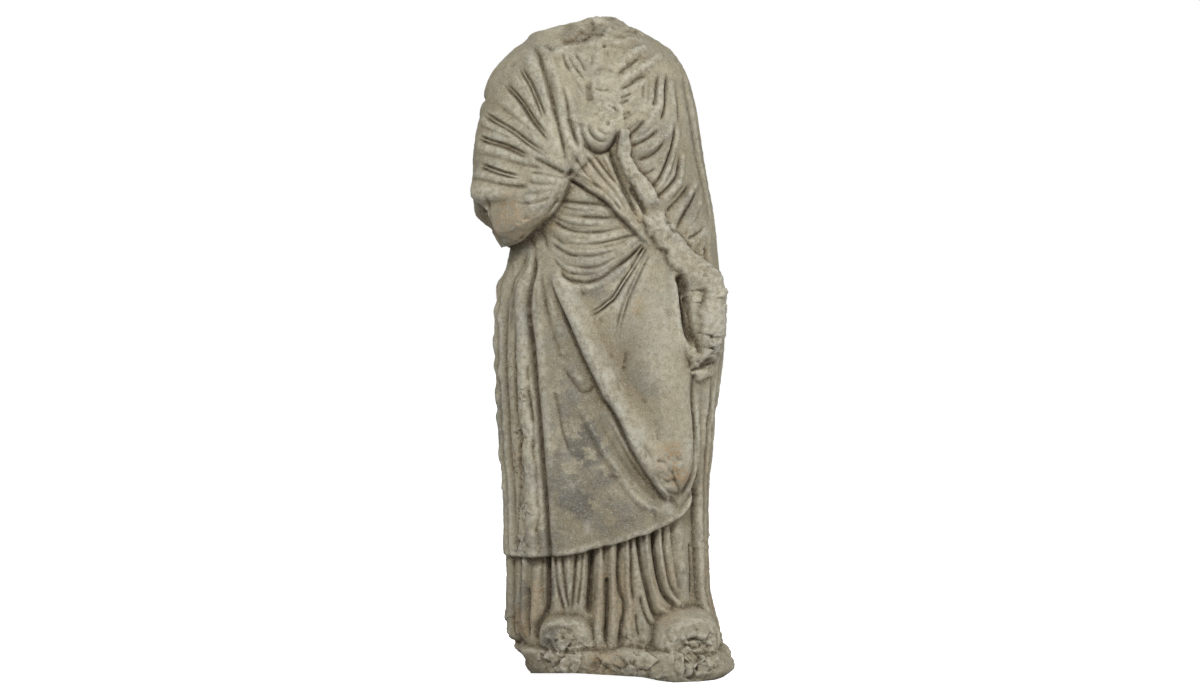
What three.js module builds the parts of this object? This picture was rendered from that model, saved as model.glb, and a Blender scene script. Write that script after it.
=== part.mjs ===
// A worn marble statue of a standing woman in a tunic and a mantle, head and hands lost,
// carved in one block with the broken stub of its plinth.
// Millimetres, +Z up. The figure looks along -Y and stands on z = 0, under the middle of its box.
//
// The block is a stack of rounded cross-sections. The body's masses and every fold are carved
// into it by strokes: a stroke follows a path on the block and raises or lowers the stone
// beside it. Where folds repeat, a fan of strokes is spread between a few guide paths.
import * as THREE from 'three';
import { mergeVertices } from 'three/addons/utils/BufferGeometryUtils.js';
import { SimplifyModifier } from 'three/addons/modifiers/SimplifyModifier.js';

const { lerp, clamp, degToRad, smoothstep } = THREE.MathUtils;

// ---------------------------------------------------------------- driving dimensions

const HEIGHT = 1470;
const SPINE_Y = 5; // depth at which a section is widest
const PLINTH_TOP = 70;
const CLOTH_THICKNESS = 17; // the mantle stands this far proud of the tunic at its hem
const HEM_SOFTNESS = 5;

const COLUMNS = 420; // vertices round the block before simplification
const WALL_ROWS = 400;
const CROWN_ROWS = 30;
const FOOT_ROWS = 12;
const CROWN = 60; // height of the domed top, where the rows draw together
const SOLE_CENTRE = [50, 5];
const TRIANGLES = 9600;
const MARBLE = 0xb5ab97;

// Cross-sections of the smooth block: height, left edge, right edge, front, back, squareness.
const SECTIONS = [
  [0, -160, 270, -150, 165, 3.2],
  [20, -174, 290, -160, 172, 3.2],
  [46, -190, 282, -165, 172, 3.0],
  [64, -204, 268, -158, 168, 2.8],
  [84, -219, 262, -136, 160, 2.6],
  [127, -223, 249, -128, 154, 2.5],
  [200, -221, 234, -122, 150, 2.5],
  [369, -221, 230, -128, 146, 2.5],
  [520, -232, 240, -134, 142, 2.5],
  [640, -237, 254, -136, 146, 2.5],
  [772, -240, 268, -138, 152, 2.5],
  [860, -236, 264, -136, 148, 2.5],
  [915, -218, 256, -130, 140, 2.4],
  [962, -210, 250, -124, 134, 2.3],
  [992, -250, 246, -124, 132, 2.3],
  [1030, -290, 240, -126, 132, 2.3],
  [1068, -293, 234, -128, 134, 2.3],
  [1175, -290, 214, -128, 142, 2.3],
  [1283, -274, 197, -118, 146, 2.3],
  [1336, -256, 185, -104, 142, 2.3],
  [1390, -209, 153, -78, 128, 2.2],
  [1415, -178, 120, -62, 112, 2.1],
  [1434, -160, 84, -44, 98, 2.1],
  [1444, -118, 62, -32, 88, 2.0],
  [1452, -72, 45, -20, 76, 2.0],
  [1461, -44, 28, -6, 60, 2.0],
  [HEIGHT, -8, -8, 28, 28, 2.0],
];

// ---------------------------------------------------------------- the smooth block

// A function that reads a table of [key, values...] rows, smoothly and without overshoot between rows.
function smoothTable(rows) {
  const columns = rows[0].length - 1;
  const rise = (i, k) => (rows[i + 1][k] - rows[i][k]) / (rows[i + 1][0] - rows[i][0]);
  const slope = (i, k) => {
    if (i === 0) return rise(0, k);
    if (i === rows.length - 1) return rise(i - 1, k);
    const [before, after] = [rise(i - 1, k), rise(i, k)];
    return before * after > 0 ? (2 * before * after) / (before + after) : 0;
  };
  const slopes = rows.map((_, i) => Array.from({ length: columns }, (_, k) => slope(i, k + 1)));
  return (key) => {
    let i = 0;
    while (i < rows.length - 2 && rows[i + 1][0] < key) i += 1;
    const span = rows[i + 1][0] - rows[i][0];
    const t = clamp((key - rows[i][0]) / span, 0, 1);
    return slopes[i].map((start, k) => {
      const ends = rows[i][k + 1] * (1 + 2 * t) * (1 - t) ** 2 + rows[i + 1][k + 1] * t * t * (3 - 2 * t);
      return ends + span * (start * t * (1 - t) ** 2 - slopes[i + 1][k] * t * t * (1 - t));
    });
  };
}

const readSections = smoothTable(SECTIONS);

// The block's section at one height.
function sectionAt(z) {
  const [left, right, front, back, square] = readSections(z);
  return { middle: (left + right) / 2, half: (right - left) / 2, front, back, square };
}

// A point of the smooth block. Azimuth 0 is the front, a quarter turn is the figure's left side.
function blockPoint(azimuth, z, target = new THREE.Vector3()) {
  const s = sectionAt(z);
  const power = 2 / s.square;
  const across = Math.sign(Math.sin(azimuth)) * Math.abs(Math.sin(azimuth)) ** power;
  const along = Math.sign(Math.cos(azimuth)) * Math.abs(Math.cos(azimuth)) ** power;
  const spine = clamp(SPINE_Y, s.front, s.back);
  const depth = along > 0 ? spine - s.front : s.back - spine;
  return target.set(s.middle + s.half * across, spine - depth * along, z);
}

// The azimuth of the point of the front, or of the back, that lies at this x.
function azimuthAt(x, z, onBack = false) {
  const s = sectionAt(z);
  const share = clamp((x - s.middle) / s.half, -1, 1);
  const angle = Math.sign(share) * Math.asin(Math.abs(share) ** (s.square / 2));
  return onBack ? Math.PI - angle : angle;
}

// ---------------------------------------------------------------- strokes

// Ways to give a point of a path: [x, z] lies on the front, turn() anywhere round the block.
const turn = (degrees, z) => ({ azimuth: degToRad(degrees), z });
const behind = (x, z) => ({ azimuth: azimuthAt(x, z, true), z });
const located = (point) => (Array.isArray(point) ? { azimuth: azimuthAt(...point), z: point[1] } : point);

const FORMS = {
  soft: (u) => (1 - u * u) ** 2,
  domed: (u) => (1 - u * u) ** 0.8,
  sharp: (u) => (1 - Math.abs(u)) ** 1.5,
  flat: (u) => (1 - u ** 5) ** 1.2,
};

const PATH_STEPS = 28; // straight pieces a path is measured by
const RISE_PER_TURN = 220; // height that counts as much as one radian when a path is smoothed

// A carved mark along a smooth path. height is positive for a ridge and negative for a groove;
// width is its reach to the traveller's right and left, seen from outside; fade is the share of
// the path over which it dies away at its start and end; widen is how many times wider it ends.
function stroke(path, { height, width, form = 'soft', fade = [0.25, 0.25], layer = 'mantle', widen = 1 }) {
  const knots = path.map(located).map((p) => new THREE.Vector3(p.azimuth, p.z / RISE_PER_TURN, 0));
  const curve = new THREE.CatmullRomCurve3(knots, false, 'centripetal');
  const line = curve.getPoints(PATH_STEPS).map((p) => blockPoint(p.x, p.y * RISE_PER_TURN));
  const [right, left] = Array.isArray(width) ? width : [width, width];
  const [formRight, formLeft] = (Array.isArray(form) ? form : [form, form]).map((name) => FORMS[name]);
  const box = new THREE.Box3().setFromPoints(line).expandByScalar(Math.max(right, left) * widen);
  return { line, height, right, left, formRight, formLeft, fade, layer, widen, box };
}

// Strokes spread between guide paths. Place 0 is the first guide, 1 the second and so on.
function fan(guides, places, look) {
  const paths = guides.map((guide) => guide.map(located));
  return places.map((place) => {
    const i = clamp(Math.floor(place), 0, paths.length - 2);
    const path = paths[i].map((p, k) => ({
      azimuth: lerp(p.azimuth, paths[i + 1][k].azimuth, place - i),
      z: lerp(p.z, paths[i + 1][k].z, place - i),
    }));
    return stroke(path, look);
  });
}

const segment = new THREE.Vector3();
const offset = new THREE.Vector3();
const nearest = new THREE.Vector3();

// How far one stroke moves the stone at a point of the smooth block.
function strokeHeight(mark, point, normal) {
  if (!mark.box.containsPoint(point)) return 0;
  let best = Infinity;
  let side = 1;
  let along = 0;
  for (let i = 0; i < mark.line.length - 1; i += 1) {
    segment.subVectors(mark.line[i + 1], mark.line[i]);
    offset.subVectors(point, mark.line[i]);
    const t = clamp(offset.dot(segment) / Math.max(segment.lengthSq(), 1e-9), 0, 1);
    nearest.copy(offset).addScaledVector(segment, -t);
    const distance = nearest.length();
    if (distance < best) {
      best = distance;
      along = (i + t) / (mark.line.length - 1);
      side = segment.cross(nearest).dot(normal);
    }
  }
  const onLeft = side > 0;
  const u = best / ((onLeft ? mark.left : mark.right) * lerp(1, mark.widen, along));
  if (u >= 1) return 0;
  const [start, end] = mark.fade;
  const ends = (start > 0 ? smoothstep(along, 0, start) : 1) * (end > 0 ? smoothstep(1 - along, 0, end) : 1);
  return mark.height * ends * (onLeft ? mark.formLeft : mark.formRight)(u);
}

// ---------------------------------------------------------------- the body's masses

function masses() {
  const rightForearm = [[-232, 1010], [-190, 1045], [-140, 1098], [-105, 1150], [-55, 1196], [-10, 1218]];
  const underArm = [[-78, 1106], [-92, 1064], [-131, 1014], [-165, 986], [-214, 956]];
  const leftForearm = [[212, 945], [224, 850], [222, 790], [214, 730]];
  return [
    stroke([[-232, 1290], [-248, 1160], [-244, 1040]], { height: 26, width: 90, fade: [0.6, 0.1] }),
    stroke(rightForearm, { height: 44, width: [62, 120], form: ['domed', 'soft'], fade: [0.06, 0.3] }),
    stroke(underArm, { height: 26, width: [90, 13], fade: [0.08, 0.05] }),
    stroke([[0, 1208], [-2, 1250], [4, 1330]], { height: 18, width: 66, fade: [0, 0.4] }),
    stroke([[-34, 1206], [-10, 1196], [14, 1210]], { height: 16, width: [44, 66], fade: [0, 0] }),
    stroke([[100, 1235], [100, 1195]], { height: 20, width: 88, fade: [0, 0] }),
    stroke([[-20, 950], [-20, 900]], { height: 16, width: 130, fade: [0, 0] }),
    stroke([[96, 880], [122, 690], [144, 540], [150, 480]], { height: 34, width: 90, fade: [0.4, 0] }),
    stroke(leftForearm, { height: 26, width: [50, 46], form: 'domed', fade: [0.3, 0] }),
    stroke([[150, 460], [168, 300], [190, 120]], { height: 16, width: 60, fade: [0.1, 0], layer: 'tunic' }),
    stroke([behind(-90, 760), behind(-90, 700)], { height: 26, width: 120, fade: [0, 0] }),
    stroke([behind(95, 770), behind(95, 710)], { height: 26, width: 120, fade: [0, 0] }),
    stroke([behind(-110, 1230), behind(-100, 1140)], { height: 14, width: 100, fade: [0, 0] }),
    stroke([behind(90, 1230), behind(80, 1140)], { height: 14, width: 100, fade: [0, 0] }),
  ];
}

// ---------------------------------------------------------------- the mantle's folds

// Folds that radiate from the crook of the right arm over the shoulder.
function shoulderFan() {
  const guides = [
    [turn(-62, 1450), [-152, 1408], [-131, 1317], [-90, 1186]],
    [turn(-108, 1262), [-262, 1242], [-215, 1213], [-125, 1152]],
    [turn(-118, 1096), [-276, 1094], [-231, 1088], [-165, 1076]],
  ];
  const look = { fade: [0.35, 0.25] };
  return [
    ...fan(guides, [0, 0.36, 0.62, 1, 1.36, 1.72, 2], { ...look, height: -13, width: 14, form: 'sharp' }),
    ...fan(guides, [0.18, 0.48, 0.8, 1.18, 1.54, 1.86], { ...look, height: 6, width: 24 }),
  ];
}

// Long folds that drop from the left shoulder behind the left arm.
function leftShoulderFolds() {
  const guides = [
    [[130, 1400], [168, 1300], [186, 1150], [214, 1010]],
    [turn(88, 1405), turn(84, 1250), turn(82, 1050), turn(84, 860)],
    [turn(128, 1400), turn(122, 1250), turn(114, 1050), turn(108, 860)],
  ];
  return [
    ...fan(guides, [0.35, 0.7, 1, 1.4, 1.75], { height: -9, width: 17, form: 'sharp', fade: [0.3, 0.2] }),
    ...fan(guides, [0.52, 0.85, 1.2, 1.58], { height: 6, width: 26, fade: [0.3, 0.2] }),
  ];
}

// Fine creases where the sleeve is drawn in under the forearm.
function sleeveCreases() {
  const guides = [
    [[-162, 1112], [-122, 1102], [-82, 1094]],
    [[-212, 1006], [-172, 998], [-132, 1018]],
  ];
  return fan(guides, [0, 0.4, 0.75, 1], { height: -7, width: 10, form: 'sharp' });
}

// Folds across the breast: the tunic's vee below the neck, and the mantle's folds from the shoulder.
function chestFolds() {
  const vee = [
    [[-88, 1380], [-65, 1336], [-42, 1290]],
    [[-62, 1380], [-50, 1352], [-36, 1328]],
  ];
  const shoulder = [
    [[66, 1378], [40, 1346], [22, 1324]],
    [[92, 1324], [62, 1304], [20, 1268]],
    [[66, 1270], [48, 1260], [34, 1248]],
  ];
  const shoulderRolls = [
    [[-128, 1398], [-98, 1274], [-56, 1144], [-18, 1098]],
    [[-104, 1352], [-80, 1276], [-44, 1152], [-10, 1106]],
  ];
  return [
    ...fan(shoulderRolls, [0, 1], { height: 7, width: 16, fade: [0.2, 0.2] }),
    ...fan(shoulderRolls, [0.5], { height: -7, width: 10, form: 'sharp' }),
    ...fan(vee, [0, 1], { height: -8, width: 10, form: 'sharp' }),
    ...fan(shoulder, [0, 0.5, 1, 2], { height: -8, width: 11, form: 'sharp' }),
    ...fan(shoulder, [0.25, 0.75, 1.5], { height: 9, width: 18 }),
    stroke([[-30, 1340], [-31, 1262]], { height: -10, width: 16, fade: [0.4, 0.1] }),
    stroke([[-110, 1366], [-68, 1392], [10, 1400], [48, 1392]], { height: 7, width: [14, 7] }),
  ];
}

// Deep drilled furrows that hang in arcs below the left shoulder.
function breastArcs() {
  const arcs = [
    [[80, 1222], [70, 1208], [58, 1196], [46, 1184]],
    [[129, 1188], [118, 1165], [92, 1140], [65, 1130]],
    [[146, 1211], [144, 1165], [130, 1115], [98, 1076]],
    [[165, 1169], [163, 1130], [147, 1085], [110, 1053]],
    [[190, 1092], [170, 1065], [150, 1043], [131, 1023]],
    [[219, 998], [208, 982], [194, 973], [177, 967]],
  ];
  const shoulder = [
    [[119, 1340], [112, 1298], [102, 1258]],
    [[137, 1336], [133, 1298], [117, 1225]],
  ];
  return [
    ...fan(arcs, [0, 0.5, 1, 2, 3, 4, 4.5, 5], { height: -14, width: 12, fade: [0.2, 0.15] }),
    ...fan(arcs, [0.75, 1.5, 2.5, 3.5, 4.25], { height: 5, width: 16 }),
    ...fan(shoulder, [0, 1], { height: -12, width: 12, fade: [0.2, 0.15] }),
  ];
}

// The mantle's upper border, drawn tight in a twisted band from the crook to the left forearm,
// and the flat ribbon of cloth that crosses it from the fist and runs down the arm.
function sling() {
  const cords = [
    [[-72, 1158], [-52, 1122], [-20, 1086], [56, 1004]],
    [[-50, 1162], [-20, 1118], [18, 1070], [64, 1006]],
    [[-30, 1160], [2, 1116], [38, 1070], [70, 1014]],
  ];
  const pocket = [[8, 1172], [22, 1130], [58, 1040], [76, 1004]];
  const border = [[-82, 1104], [-50, 1086], [-20, 1066], [44, 1008], [102, 948]];
  const ribbon = [[41, 1212], [66, 1146], [90, 1090], [107, 1045], [118, 1010]];
  const besideArm = [
    [110, 1030], [128, 984], [162, 938], [200, 902], [222, 864], [228, 800], [222, 735], [216, 690],
  ];
  return [
    ...fan(cords, [0, 1, 2], { height: -9, width: 9, form: 'sharp', fade: [0.15, 0.2] }),
    ...fan(cords, [0.5, 1.5], { height: 5, width: 10 }),
    stroke(pocket, { height: -17, width: 12, form: 'sharp', fade: [0.2, 0.2] }),
    stroke(border, { height: 22, width: [12, 60], fade: [0.08, 0.1] }),
    stroke(ribbon, { height: 16, width: 10, form: 'flat', fade: [0.06, 0.2], widen: 1.8 }),
    stroke(besideArm, { height: 17, width: 21, form: 'flat', fade: [0.08, 0], widen: 1.65 }),
  ];
}

// The veiled right hand that grips the border: folds drawn round a fist.
function fistFolds() {
  const wraps = [
    [[-46, 1228], [-32, 1190], [2, 1176], [24, 1192]],
    [[-66, 1236], [-50, 1184], [-18, 1150], [8, 1168]],
  ];
  return fan(wraps, [0, 1], { height: -9, width: 9, form: 'sharp', fade: [0.3, 0.1] });
}

// Shallow swags across the belly, between the sleeve and the band.
function bellySwags() {
  const swags = [
    [[-112, 1050], [-62, 1050], [-12, 1044], [20, 1034], [48, 1010]],
    [[-122, 1008], [-76, 984], [-14, 980], [40, 990], [74, 986]],
    [[-124, 956], [-78, 926], [-16, 922], [40, 941], [80, 970]],
    [[-112, 914], [-80, 873], [-34, 870], [18, 899], [84, 960]],
  ];
  return [
    ...fan(swags, [0.1, 0.55, 1, 1.5, 1.95, 2.4], { height: -8, width: 12, form: 'sharp' }),
    ...fan(swags, [3], { height: -11, width: 13, form: 'sharp', fade: [0.12, 0.12] }),
    ...fan(swags, [0.3, 0.78, 1.25, 1.7, 2.2, 2.7], { height: 5, width: 15 }),
  ];
}

// Thin folds that spread from the left forearm over the thigh.
function thighRays() {
  const rays = [
    [[84, 956], [48, 919], [12, 896], [-4, 890]],
    [[92, 952], [58, 896], [8, 826], [-38, 798]],
    [[100, 944], [70, 880], [42, 800], [23, 730]],
  ];
  return [
    ...fan(rays, [0, 0.85, 1.1, 2], { height: -7, width: 11, form: 'sharp', fade: [0.1, 0.3] }),
    ...fan(rays, [0.45, 0.97, 1.6], { height: 4, width: 12, fade: [0.1, 0.3] }),
  ];
}

// The long falls from the right hip to the hem, and the lap that swings from hip to left shin.
function longFalls() {
  const lap = [[-122, 915], [-62, 760], [8, 623], [69, 496], [142, 388]];
  const trough = lap.map(([x, z]) => [x - 8, z - 3]);
  const sweeps = [
    [[-77, 653], [-23, 542], [35, 446], [128, 358]],
    [[-31, 612], [-2, 546], [62, 446], [134, 372]],
    [[0, 599], [30, 546], [90, 446], [142, 385]],
  ];
  const side = [
    [turn(-58, 905), turn(-64, 700), turn(-62, 500), turn(-62, 220)],
    [turn(-118, 940), turn(-116, 700), turn(-112, 500), turn(-110, 220)],
  ];
  const look = {
    deep: { height: -20, width: 12, form: 'sharp', fade: [0.12, 0] },
    ridge: { height: 14, width: 22, fade: [0.15, 0] },
    fine: { height: -9, width: 12, form: 'sharp', fade: [0.15, 0] },
  };
  return [
    stroke([[-150, 935], [-165, 800], [-150, 642], [-133, 480], [-121, 220]], look.deep),
    stroke([[-164, 930], [-180, 800], [-175, 640], [-162, 450], [-158, 220]], look.ridge),
    stroke([[-176, 925], [-197, 780], [-197, 640], [-187, 425], [-193, 220]], look.fine),
    stroke(lap, { height: 27, width: [15, 66], fade: [0.12, 0.1] }),
    stroke(trough, { height: -7, width: 14, fade: [0.15, 0.12] }),
    ...fan(sweeps, [0, 2], { height: 7, width: 16 }),
    ...fan(sweeps, [1], { height: -5, width: 16, form: 'sharp' }),
    stroke([[-110, 632], [-92, 569], [-77, 499]], { height: -5, width: 20 }),
    stroke([[-140, 890], [-128, 800], [-85, 682]], { height: -6, width: 18 }),
    ...fan(side, [0, 0.25, 0.5, 0.75, 1], { height: -8, width: 17, form: 'sharp', fade: [0.2, 0] }),
    ...fan(side, [0.12, 0.38, 0.62, 0.88], { height: 7, width: 24, fade: [0.2, 0] }),
  ];
}

// The straight fall at the figure's left side, from the forearm down to the plinth.
function leftFall() {
  const furrows = [
    [[186, 690], [189, 560], [187, 440], [204, 372]],
    [turn(68, 690), turn(68, 500), turn(72, 300), turn(74, 76)],
    [turn(104, 860), turn(102, 600), turn(100, 330), turn(98, 76)],
  ];
  const besideArm = [[164, 884], [168, 800], [181, 724]];
  return [
    stroke(besideArm, { height: -16, width: [12, 16], form: 'sharp', fade: [0.1, 0.2] }),
    stroke(furrows[0], { height: -10, width: 13, form: 'sharp', fade: [0.15, 0.1] }),
    ...fan(furrows, [1, 1.35, 1.7, 2], { height: -9, width: 15, form: 'sharp', fade: [0.15, 0.1] }),
    ...fan(furrows, [0.7, 1.18, 1.52, 1.85], { height: 7, width: 22, fade: [0.15, 0.1] }),
  ];
}

// The plainer back: folds that fall from the left shoulder in curves to the right hip and hem.
function backFolds() {
  const slant = [
    [behind(60, 1370), behind(-20, 1290), behind(-120, 1240), behind(-215, 1230)],
    [behind(90, 1330), behind(40, 1130), behind(-80, 1000), behind(-180, 960)],
    [behind(130, 1240), behind(110, 930), behind(0, 690), behind(-150, 600)],
    [behind(175, 1100), behind(165, 800), behind(90, 520), behind(-60, 340)],
  ];
  const falls = [
    [behind(-185, 560), behind(-186, 400), behind(-188, 220)],
    [behind(180, 760), behind(186, 480), behind(188, 220)],
  ];
  return [
    ...fan(slant, [0, 0.5, 1, 1.5, 2, 2.5, 3], { height: -11, width: 20, form: 'sharp' }),
    ...fan(slant, [0.25, 0.75, 1.25, 1.75, 2.25, 2.75], { height: 9, width: 34 }),
    ...fan(falls, [0, 0.2, 0.42, 0.62, 0.8, 1], { height: -9, width: 20, form: 'sharp', fade: [0.4, 0] }),
    ...fan(falls, [0.1, 0.3, 0.52, 0.71, 0.9], { height: 6, width: 30, fade: [0.4, 0] }),
  ];
}

// ---------------------------------------------------------------- the tunic's pleats

function pleats() {
  const foot = PLINTH_TOP;
  const furrows = [
    { path: [[-198, 290], [-203, 130]], depth: 9 },
    { path: [[-176, 190], [-175, 84]], depth: 10 },
    { path: [[-133, 290], [-130, 190], [-150, 100]], depth: 22 },
    { path: [[-103, 285], [-108, 160]], depth: 7 },
    { path: [[-79, 285], [-82, 160]], depth: 9 },
    { path: [[-58, 285], [-72, 170]], depth: 6 },
    { path: [[-32, 295], [-36, 140]], depth: 20 },
    { path: [[3, 300], [6, 210], [4, 75]], depth: 14 },
    { path: [[31, 300], [34, 170], [29, foot]], depth: 10 },
    { path: [[57, 310], [62, 210], [76, 84]], depth: 8 },
    { path: [[72, 320], [86, 205], [138, 140]], depth: 15 },
    { path: [[109, 330], [120, 215], [158, 158]], depth: 18 },
    { path: [[133, 335], [146, 220], [186, 158]], depth: 8 },
    { path: [[158, 325], [166, 180]], depth: 5 },
    { path: [[200, 420], [202, 150]], depth: 9 },
    { path: [[214, 260], [240, 140]], depth: 7 },
  ];
  const ridges = [
    { path: [[-155, 285], [-160, 120]], height: 10 },
    { path: [[-92, 285], [-95, 165]], height: 7 },
    { path: [[-12, 300], [-16, 110], [-10, foot]], height: 11 },
    { path: [[18, 300], [19, foot]], height: 10 },
    { path: [[45, 310], [48, foot]], height: 9 },
    { path: [[92, 330], [104, 200], [140, 150]], height: 10 },
    { path: [[121, 330], [132, 210], [170, 162]], height: 9 },
  ];
  const backPleats = [
    [turn(112, 320), turn(112, 190), turn(112, foot)],
    [turn(250, 320), turn(250, 190), turn(250, foot)],
  ];
  const backPlaces = [0, 0.12, 0.25, 0.38, 0.5, 0.62, 0.75, 0.88, 1];
  const along = { layer: 'tunic', fade: [0, 0.12] };
  const outerTube = [turn(-88, 262), turn(-87, 170), turn(-86, 62)];
  return [
    stroke(outerTube, { ...along, height: 17, width: 28, form: 'domed' }),
    ...furrows.map(({ path, depth }) => stroke(path, { ...along, height: -depth, width: 7 + depth / 4 })),
    ...ridges.map(({ path, height }) => stroke(path, { ...along, height, width: 15 })),
    ...fan(backPleats, backPlaces, { ...along, height: -9, width: 18, form: 'sharp' }),
  ];
}

// ---------------------------------------------------------------- feet, plinth and breaks

// Worn feet under cloth: middle, half width and top of each. The plinth's own face is carried up
// from the level of its edge and rounded over.
const FEET = [
  { middle: -90, halfWidth: 68, top: 150 },
  { middle: 192, halfWidth: 84, top: 156 },
];
const FOOT_DEPTH = 62;
const FOOT_LEVEL = 52;
const face = new THREE.Vector3();

// Height of the feet over the smooth block.
function footHeight(point, normal, azimuth) {
  if (Math.abs(azimuth) > degToRad(110)) return -1000;
  blockPoint(azimuth, Math.min(point.z, FOOT_LEVEL), face);
  const out = (face.x - point.x) * normal.x + (face.y - point.y) * normal.y;
  const wornOff = FEET.map(({ middle, halfWidth, top }) => {
    const upward = Math.max(point.z - FOOT_LEVEL, 0) / (top - FOOT_LEVEL);
    const sideways = Math.abs(point.x - middle) / (halfWidth * (1.16 - 0.16 * upward));
    return sideways ** 3.4 + upward ** 3.4;
  });
  const least = Math.min(...wornOff);
  return least < 1.3 ? out - FOOT_DEPTH * least : -1000;
}

// Places where the stone has broken away: point, reach, depth lost and roughness.
function breaks() {
  return [
    { at: [-262, 1030], reach: 62, lost: 14, rough: 7 },
    { at: [-56, 1430], reach: 70, lost: 7, rough: 6 },
    { at: [-20, 1462], reach: 130, lost: -2, rough: 9 },
    { at: [222, 740], reach: 70, lost: 5, rough: 9 },
    { at: [226, 860], reach: 75, lost: 2, rough: 8 },
    { at: [200, 970], reach: 60, lost: 2, rough: 5 },
    { at: [132, 470], reach: 45, lost: 5, rough: 4 },
    { at: [-90, 70], reach: 75, lost: 4, rough: 5 },
    { at: [205, 62], reach: 78, lost: 4, rough: 6 },
    { at: [-188, 70], reach: 62, lost: 14, rough: 7 },
    { at: [40, 30], reach: 110, lost: 6, rough: 8 },
  ];
}

// Uneven, rock-like height between -1 and 1 at a point of the block.
function rock(p) {
  const wave = (sx, sy, sz, phase) => Math.sin(p.x / sx + p.y / sy + p.z / sz + phase);
  const bent = wave(-11, 17, 9, 1.7 + 0.8 * wave(31, -27, 22, 2));
  return 0.4 * wave(19, 23, 14, 0) + 0.35 * bent + 0.25 * wave(7, -8, 6, 4.1);
}

// Height of the mantle's hem, by degrees round the figure from its right side, over the front, to the back.
const readHem = smoothTable([
  [-90, 262], [-38, 268], [-25, 268], [-12, 276], [0, 293], [20, 323], [43, 356], [50, 374], [57, 402],
  [60, 398], [65, 70], [108, 68], [122, 296], [180, 300], [270, 262],
]);

function hemAt(azimuth) {
  const turned = ((THREE.MathUtils.radToDeg(azimuth) + 450) % 360) - 90;
  return readHem(turned)[0];
}

// ---------------------------------------------------------------- carving

// How far above and below the hem the cloth's edge is spread; more where the hem runs steeply.
function hemSpread(azimuth) {
  const turnBy = 0.02;
  const run = 2 * turnBy * 220;
  const rise = hemAt(azimuth + turnBy) - hemAt(azimuth - turnBy);
  return HEM_SOFTNESS * Math.hypot(1, rise / run);
}

function carve(point, normal, azimuth, marks, broken) {
  const sums = { mantle: 0, tunic: -CLOTH_THICKNESS };
  for (const mark of marks) sums[mark.layer] += strokeHeight(mark, point, normal);
  const [hem, spread] = [hemAt(azimuth), hemSpread(azimuth)];
  const cover = smoothstep(point.z, hem - spread, hem + spread);
  const clothed = smoothstep(point.z, PLINTH_TOP - 8, PLINTH_TOP + 6);
  const tunic = lerp(Math.max(sums.tunic, -CLOTH_THICKNESS) + CLOTH_THICKNESS, sums.tunic, clothed);
  const below = Math.max(tunic, footHeight(point, normal, azimuth));
  let height = lerp(below, sums.mantle, cover);
  for (const spot of broken) {
    const share = 1 - smoothstep(point.distanceTo(spot.centre), 0.4 * spot.reach, spot.reach);
    if (share > 0) height += share * (rock(point) * spot.rough - spot.lost);
  }
  if (point.z < PLINTH_TOP) height += 3 * rock(point);
  return height;
}

// ---------------------------------------------------------------- the mesh

// Height and inward share of each ring of vertices, from the crown down to the middle of the sole.
function rings() {
  const shares = (rows) => Array.from({ length: rows }, (_, i) => (i + 1) / rows);
  const crown = shares(CROWN_ROWS).map((share) => [HEIGHT - CROWN * share ** 2, 1]);
  const wall = shares(WALL_ROWS).map((share) => [(HEIGHT - CROWN) * (1 - share), 1]);
  const sole = shares(FOOT_ROWS).slice(0, -1).map((share) => [0, 1 - share]);
  return [[HEIGHT, 0], ...crown, ...wall, ...sole, [0, 0]];
}

const readChamfer = smoothTable([[-300, 1], [-60, 1], [20, 0.78], [80, 0.6], [120, 0.2], [150, 0], [300, 0]]);
const around = new THREE.Vector3();
const upward = new THREE.Vector3();

// Azimuths whose points lie evenly along the section at mid height, so that no strip is coarse.
function spreadAzimuths(count) {
  const ring = Array.from({ length: 20 * count + 1 }, (_, i) => (i / (10 * count) - 1) * Math.PI);
  const points = ring.map((azimuth) => blockPoint(azimuth, HEIGHT / 2));
  const paced = [0];
  for (let i = 1; i < ring.length; i += 1) paced.push(paced[i - 1] + points[i].distanceTo(points[i - 1]));
  const gap = paced[paced.length - 1] / count;
  return Array.from({ length: count }, (_, k) => ring[paced.findIndex((far) => far >= k * gap)]);
}

// Outward direction of the smooth block, laid flat near the foot so that stone is added outward there.
function blockNormal(azimuth, z, target) {
  if (z > HEIGHT - 1) return target.set(0, 0, 1);
  const [turnBy, riseBy] = [0.01, 2];
  blockPoint(azimuth + turnBy, z, around).sub(blockPoint(azimuth - turnBy, z, target));
  blockPoint(azimuth, Math.min(z + riseBy, HEIGHT), upward).sub(blockPoint(azimuth, z - riseBy, target));
  target.crossVectors(around, upward).normalize();
  target.z *= lerp(0.1, 1, smoothstep(z, 110, 240));
  return target.normalize();
}

// Height of the underside, which is broken away upward at the front left.
function brokenFoot(x, y) {
  const share = readChamfer(x)[0];
  return share * 0.145 * Math.max(0, -9 - y);
}

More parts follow.
